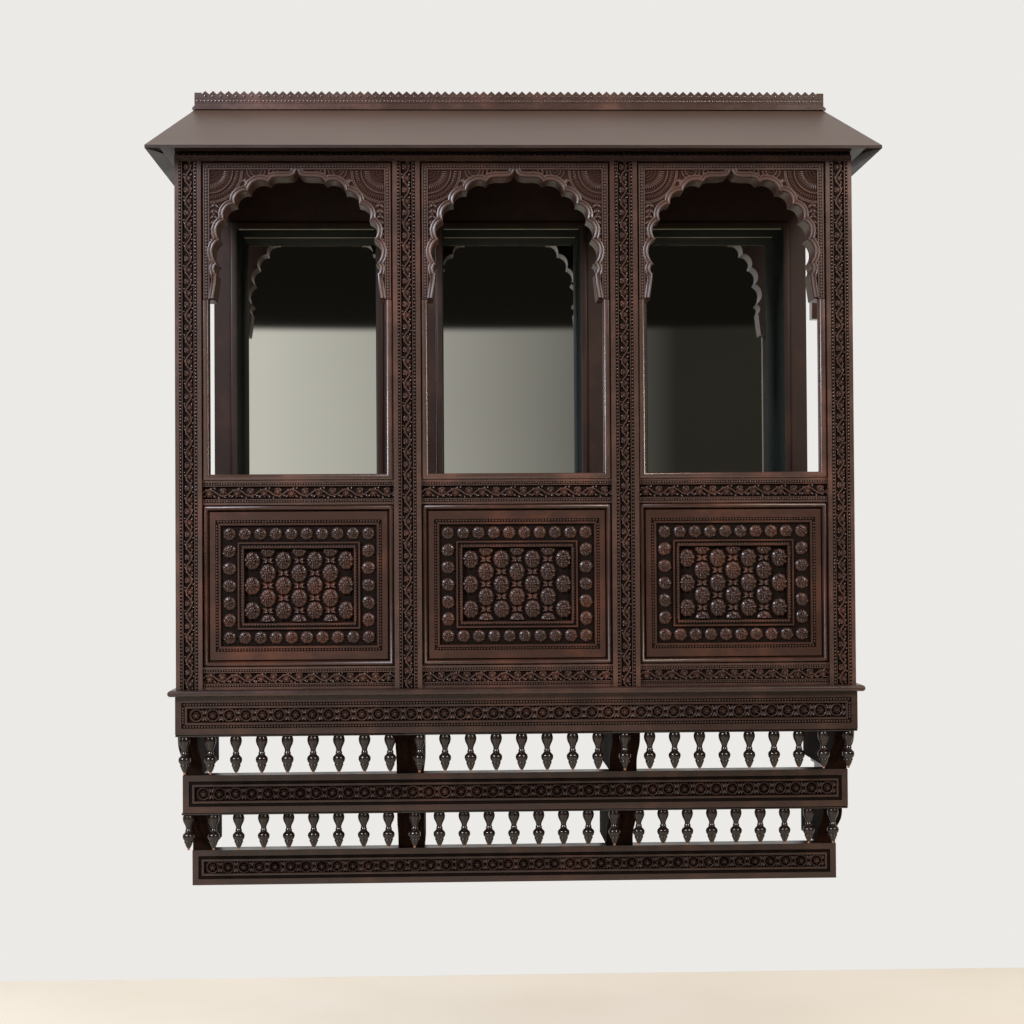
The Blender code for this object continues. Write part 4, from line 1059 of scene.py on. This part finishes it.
def build_header_carving():
    """A shaded floor and leaf tips in the sunk frieze, and beads and thin lines on the fillet under it."""
    low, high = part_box("header_front")
    place = lay(Vector((0, low.y, low.z)), X_AXIS, Z_AXIS)
    trim = bmesh.new()
    half = high.x - 0.0005
    slab(trim, place, (-half, 0.0162, -0.0119), (half, 0.0268, -0.0110))
    for face in trim.faces:
        face.material_index = GROUND
    count = 120
    for index in range(count):
        u = -half + (index + 0.5) * 2 * half / count
        for lean in (-1, 1):
            stamp(trim, LEAF, place @ spot(u, 0.0172, -0.0085, turn=math.pi / 2 + lean * 0.7, size=0.0082))
    # The fillet has two thin lines at its foot and two rows of low beads above them.
    for v in (0.0012, 0.0046):
        line = [(-half, v, -0.0004), (half, v, -0.0004)]
        add_bmesh(trim, rib_bmesh(line, 0.0011, place))
    slab(trim, place, (-half, 0.0062, -0.0020), (half, 0.0155, 0.0006))
    for v in (0.0085, 0.0132):
        bead_row(trim, place, -half, half, v, 0.0004, 0.0095, 0.0021)
    finish_piece("header_carving", trim, (TEAK_ARCH, CUT_GROUND_SHADE))


def build_roof():
    """The roof boards as on the solids, grey-stained on top, with their edges and undersides painted dark
    as shade.
    """
    low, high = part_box("roof_front")
    for node in ("roof_front", "roof_left", "roof_right"):
        board = bmesh.new()
        board.from_mesh(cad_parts[node].data)
        bmesh.ops.remove_doubles(board, verts=board.verts, dist=0.00001)
        board.normal_update()
        # Every face that doesn't look up is painted darker: painted shade on the eave's edges and
        # underside.
        for face in board.faces:
            if face.normal.z < 0.1:
                face.material_index = GROUND
        finish_piece(node + "_stained", board, (ROOF_STAIN, EAVE_EDGE_SHADE), (node,))
    # A thin rounded bead runs along the eave's lower edge.
    place = lay(Vector((0, low.y, low.z)), X_AXIS, Z_AXIS)
    lip = rib_bmesh([(0.002 - high.x, 0.0018, -0.0018), (high.x - 0.002, 0.0018, -0.0018)], 0.0017, place)
    finish_piece("eave_bead", lip, (TEAK_LEVEL,))


def dress_plain_nodes():
    """The solids that stay get their finish; the boards keep their own shape."""
    finishes = {"back_frame": TEAK_BACK_SHADE, "ceiling_board": TEAK_BACK_SHADE, "header_front": TEAK_TIER,
                "header_left": TEAK_TIER, "header_right": TEAK_TIER, "cresting_board": TEAK_LEVEL,
                "soffit_left": SOFFIT_STAIN_SHADE, "soffit_right": SOFFIT_STAIN_SHADE, "side_frame_left": TEAK_UPRIGHT,
                "side_frame_right": TEAK_UPRIGHT, "side_panel_left": TEAK_RED, "side_panel_right": TEAK_RED,
                "mirror_1": MIRROR_SILVER, "mirror_2": MIRROR_SILVER, "mirror_3": MIRROR_SILVER}
    for node, material in finishes.items():
        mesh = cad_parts[node].data
        mesh.materials.clear()
        mesh.materials.append(material)


# Stage
def build_stage():
    floor = box_bmesh((-3.6, -3.8, -1.66), (3.6, 0.0, -1.62))
    mesh = bpy.data.meshes.new("stage_floor")
    floor.to_mesh(mesh)
    floor.free()
    mesh.materials.append(FLOOR_TILE)
    stage_floor = bpy.data.objects.new("stage_floor", mesh)
    bpy.context.scene.collection.objects.link(stage_floor)
    for name, place, power, size, tint in (("light_left", (-3.6, -3.9, 2.4), 430.0, 1.5, "#e8f0ff"),
                                           ("light_right", (3.4, -4.1, 2.2), 220.0, 1.5, "#fff4e6")):
        light = bpy.data.lights.new(name, "AREA")
        light.shape = "DISK"
        light.energy = power
        light.size = size
        light.color = colour(tint)[:3]
        holder = bpy.data.objects.new(name, light)
        bpy.context.scene.collection.objects.link(holder)
        holder.location = place
        aim = Vector((0, -0.4, -0.2)) - Vector(place)
        holder.rotation_euler = aim.to_track_quat("-Z", "Y").to_euler()


def build_world():
    """White ahead, a soft grey at the sides, and behind the camera a pale wall under a dark ceiling."""
    world = bpy.data.worlds.new("soft_room")
    bpy.context.scene.world = world
    world.use_nodes = True
    tree = world.node_tree
    background = tree.nodes["Background"]
    place = add_node(tree, "ShaderNodeTexCoord")
    parts = add_node(tree, "ShaderNodeSeparateXYZ", None, {0: place.outputs["Generated"]})
    side = add_node(tree, "ShaderNodeMapRange", {"From Min": -0.10, "From Max": 0.12},
                    {"Value": parts.outputs["X"]})
    room_wall = add_node(tree, "ShaderNodeMixRGB",
                         {"Color1": colour("#d8d4ca"), "Color2": colour("#2e2b25")},
                         {"Fac": side.outputs["Result"]})
    ceiling = add_node(tree, "ShaderNodeMapRange", {"From Min": 0.113, "From Max": 0.116},
                       {"Value": parts.outputs["Z"]})
    room = add_node(tree, "ShaderNodeMixRGB", {"Color2": colour("#15130f")},
                    {"Fac": ceiling.outputs["Result"], "Color1": room_wall.outputs["Color"]})
    behind = add_node(tree, "ShaderNodeMapRange", {"From Min": -0.88, "From Max": -0.70},
                      {"Value": parts.outputs["Y"]})
    sides = add_node(tree, "ShaderNodeMixRGB", {"Color2": colour("#6e6b68")},
                     {"Fac": behind.outputs["Result"], "Color1": room.outputs["Color"]})
    ahead = add_node(tree, "ShaderNodeMapRange", {"From Min": 0.0, "From Max": 0.75},
                     {"Value": parts.outputs["Y"]})
    whole = add_node(tree, "ShaderNodeMixRGB", {"Color2": colour("#eceae7")},
                     {"Fac": ahead.outputs["Result"], "Color1": sides.outputs["Color"]})
    tree.links.new(whole.outputs["Color"], background.inputs["Color"])


def build_camera():
    data = bpy.data.cameras.new("camera")
    data.sensor_width = 36.0
    data.lens = 65.41
    camera = bpy.data.objects.new("camera", data)
    bpy.context.scene.collection.objects.link(camera)
    yaw = 0.03214
    pitch = 0.01697
    roll = -0.00618
    forward = Vector((math.sin(yaw) * math.cos(pitch), math.cos(yaw) * math.cos(pitch), math.sin(pitch)))
    turn = forward.to_track_quat("-Z", "Y").to_matrix().to_4x4() @ Matrix.Rotation(roll, 4, "Z")
    camera.matrix_world = Matrix.Translation((-0.1752, -5.5336, -0.3431)) @ turn
    bpy.context.scene.camera = camera


build_camera()
build_world()
bpy.context.scene.view_settings.view_transform = "Standard"
build_posts()
build_rails()
build_tiers()
build_ledge()
build_lower_panels()
build_arches()
build_opening_mouldings()
build_mirror_boxes()
build_pendants()
build_consoles()
build_roof()
build_cresting()
build_header_carving()
dress_plain_nodes()
build_stage()
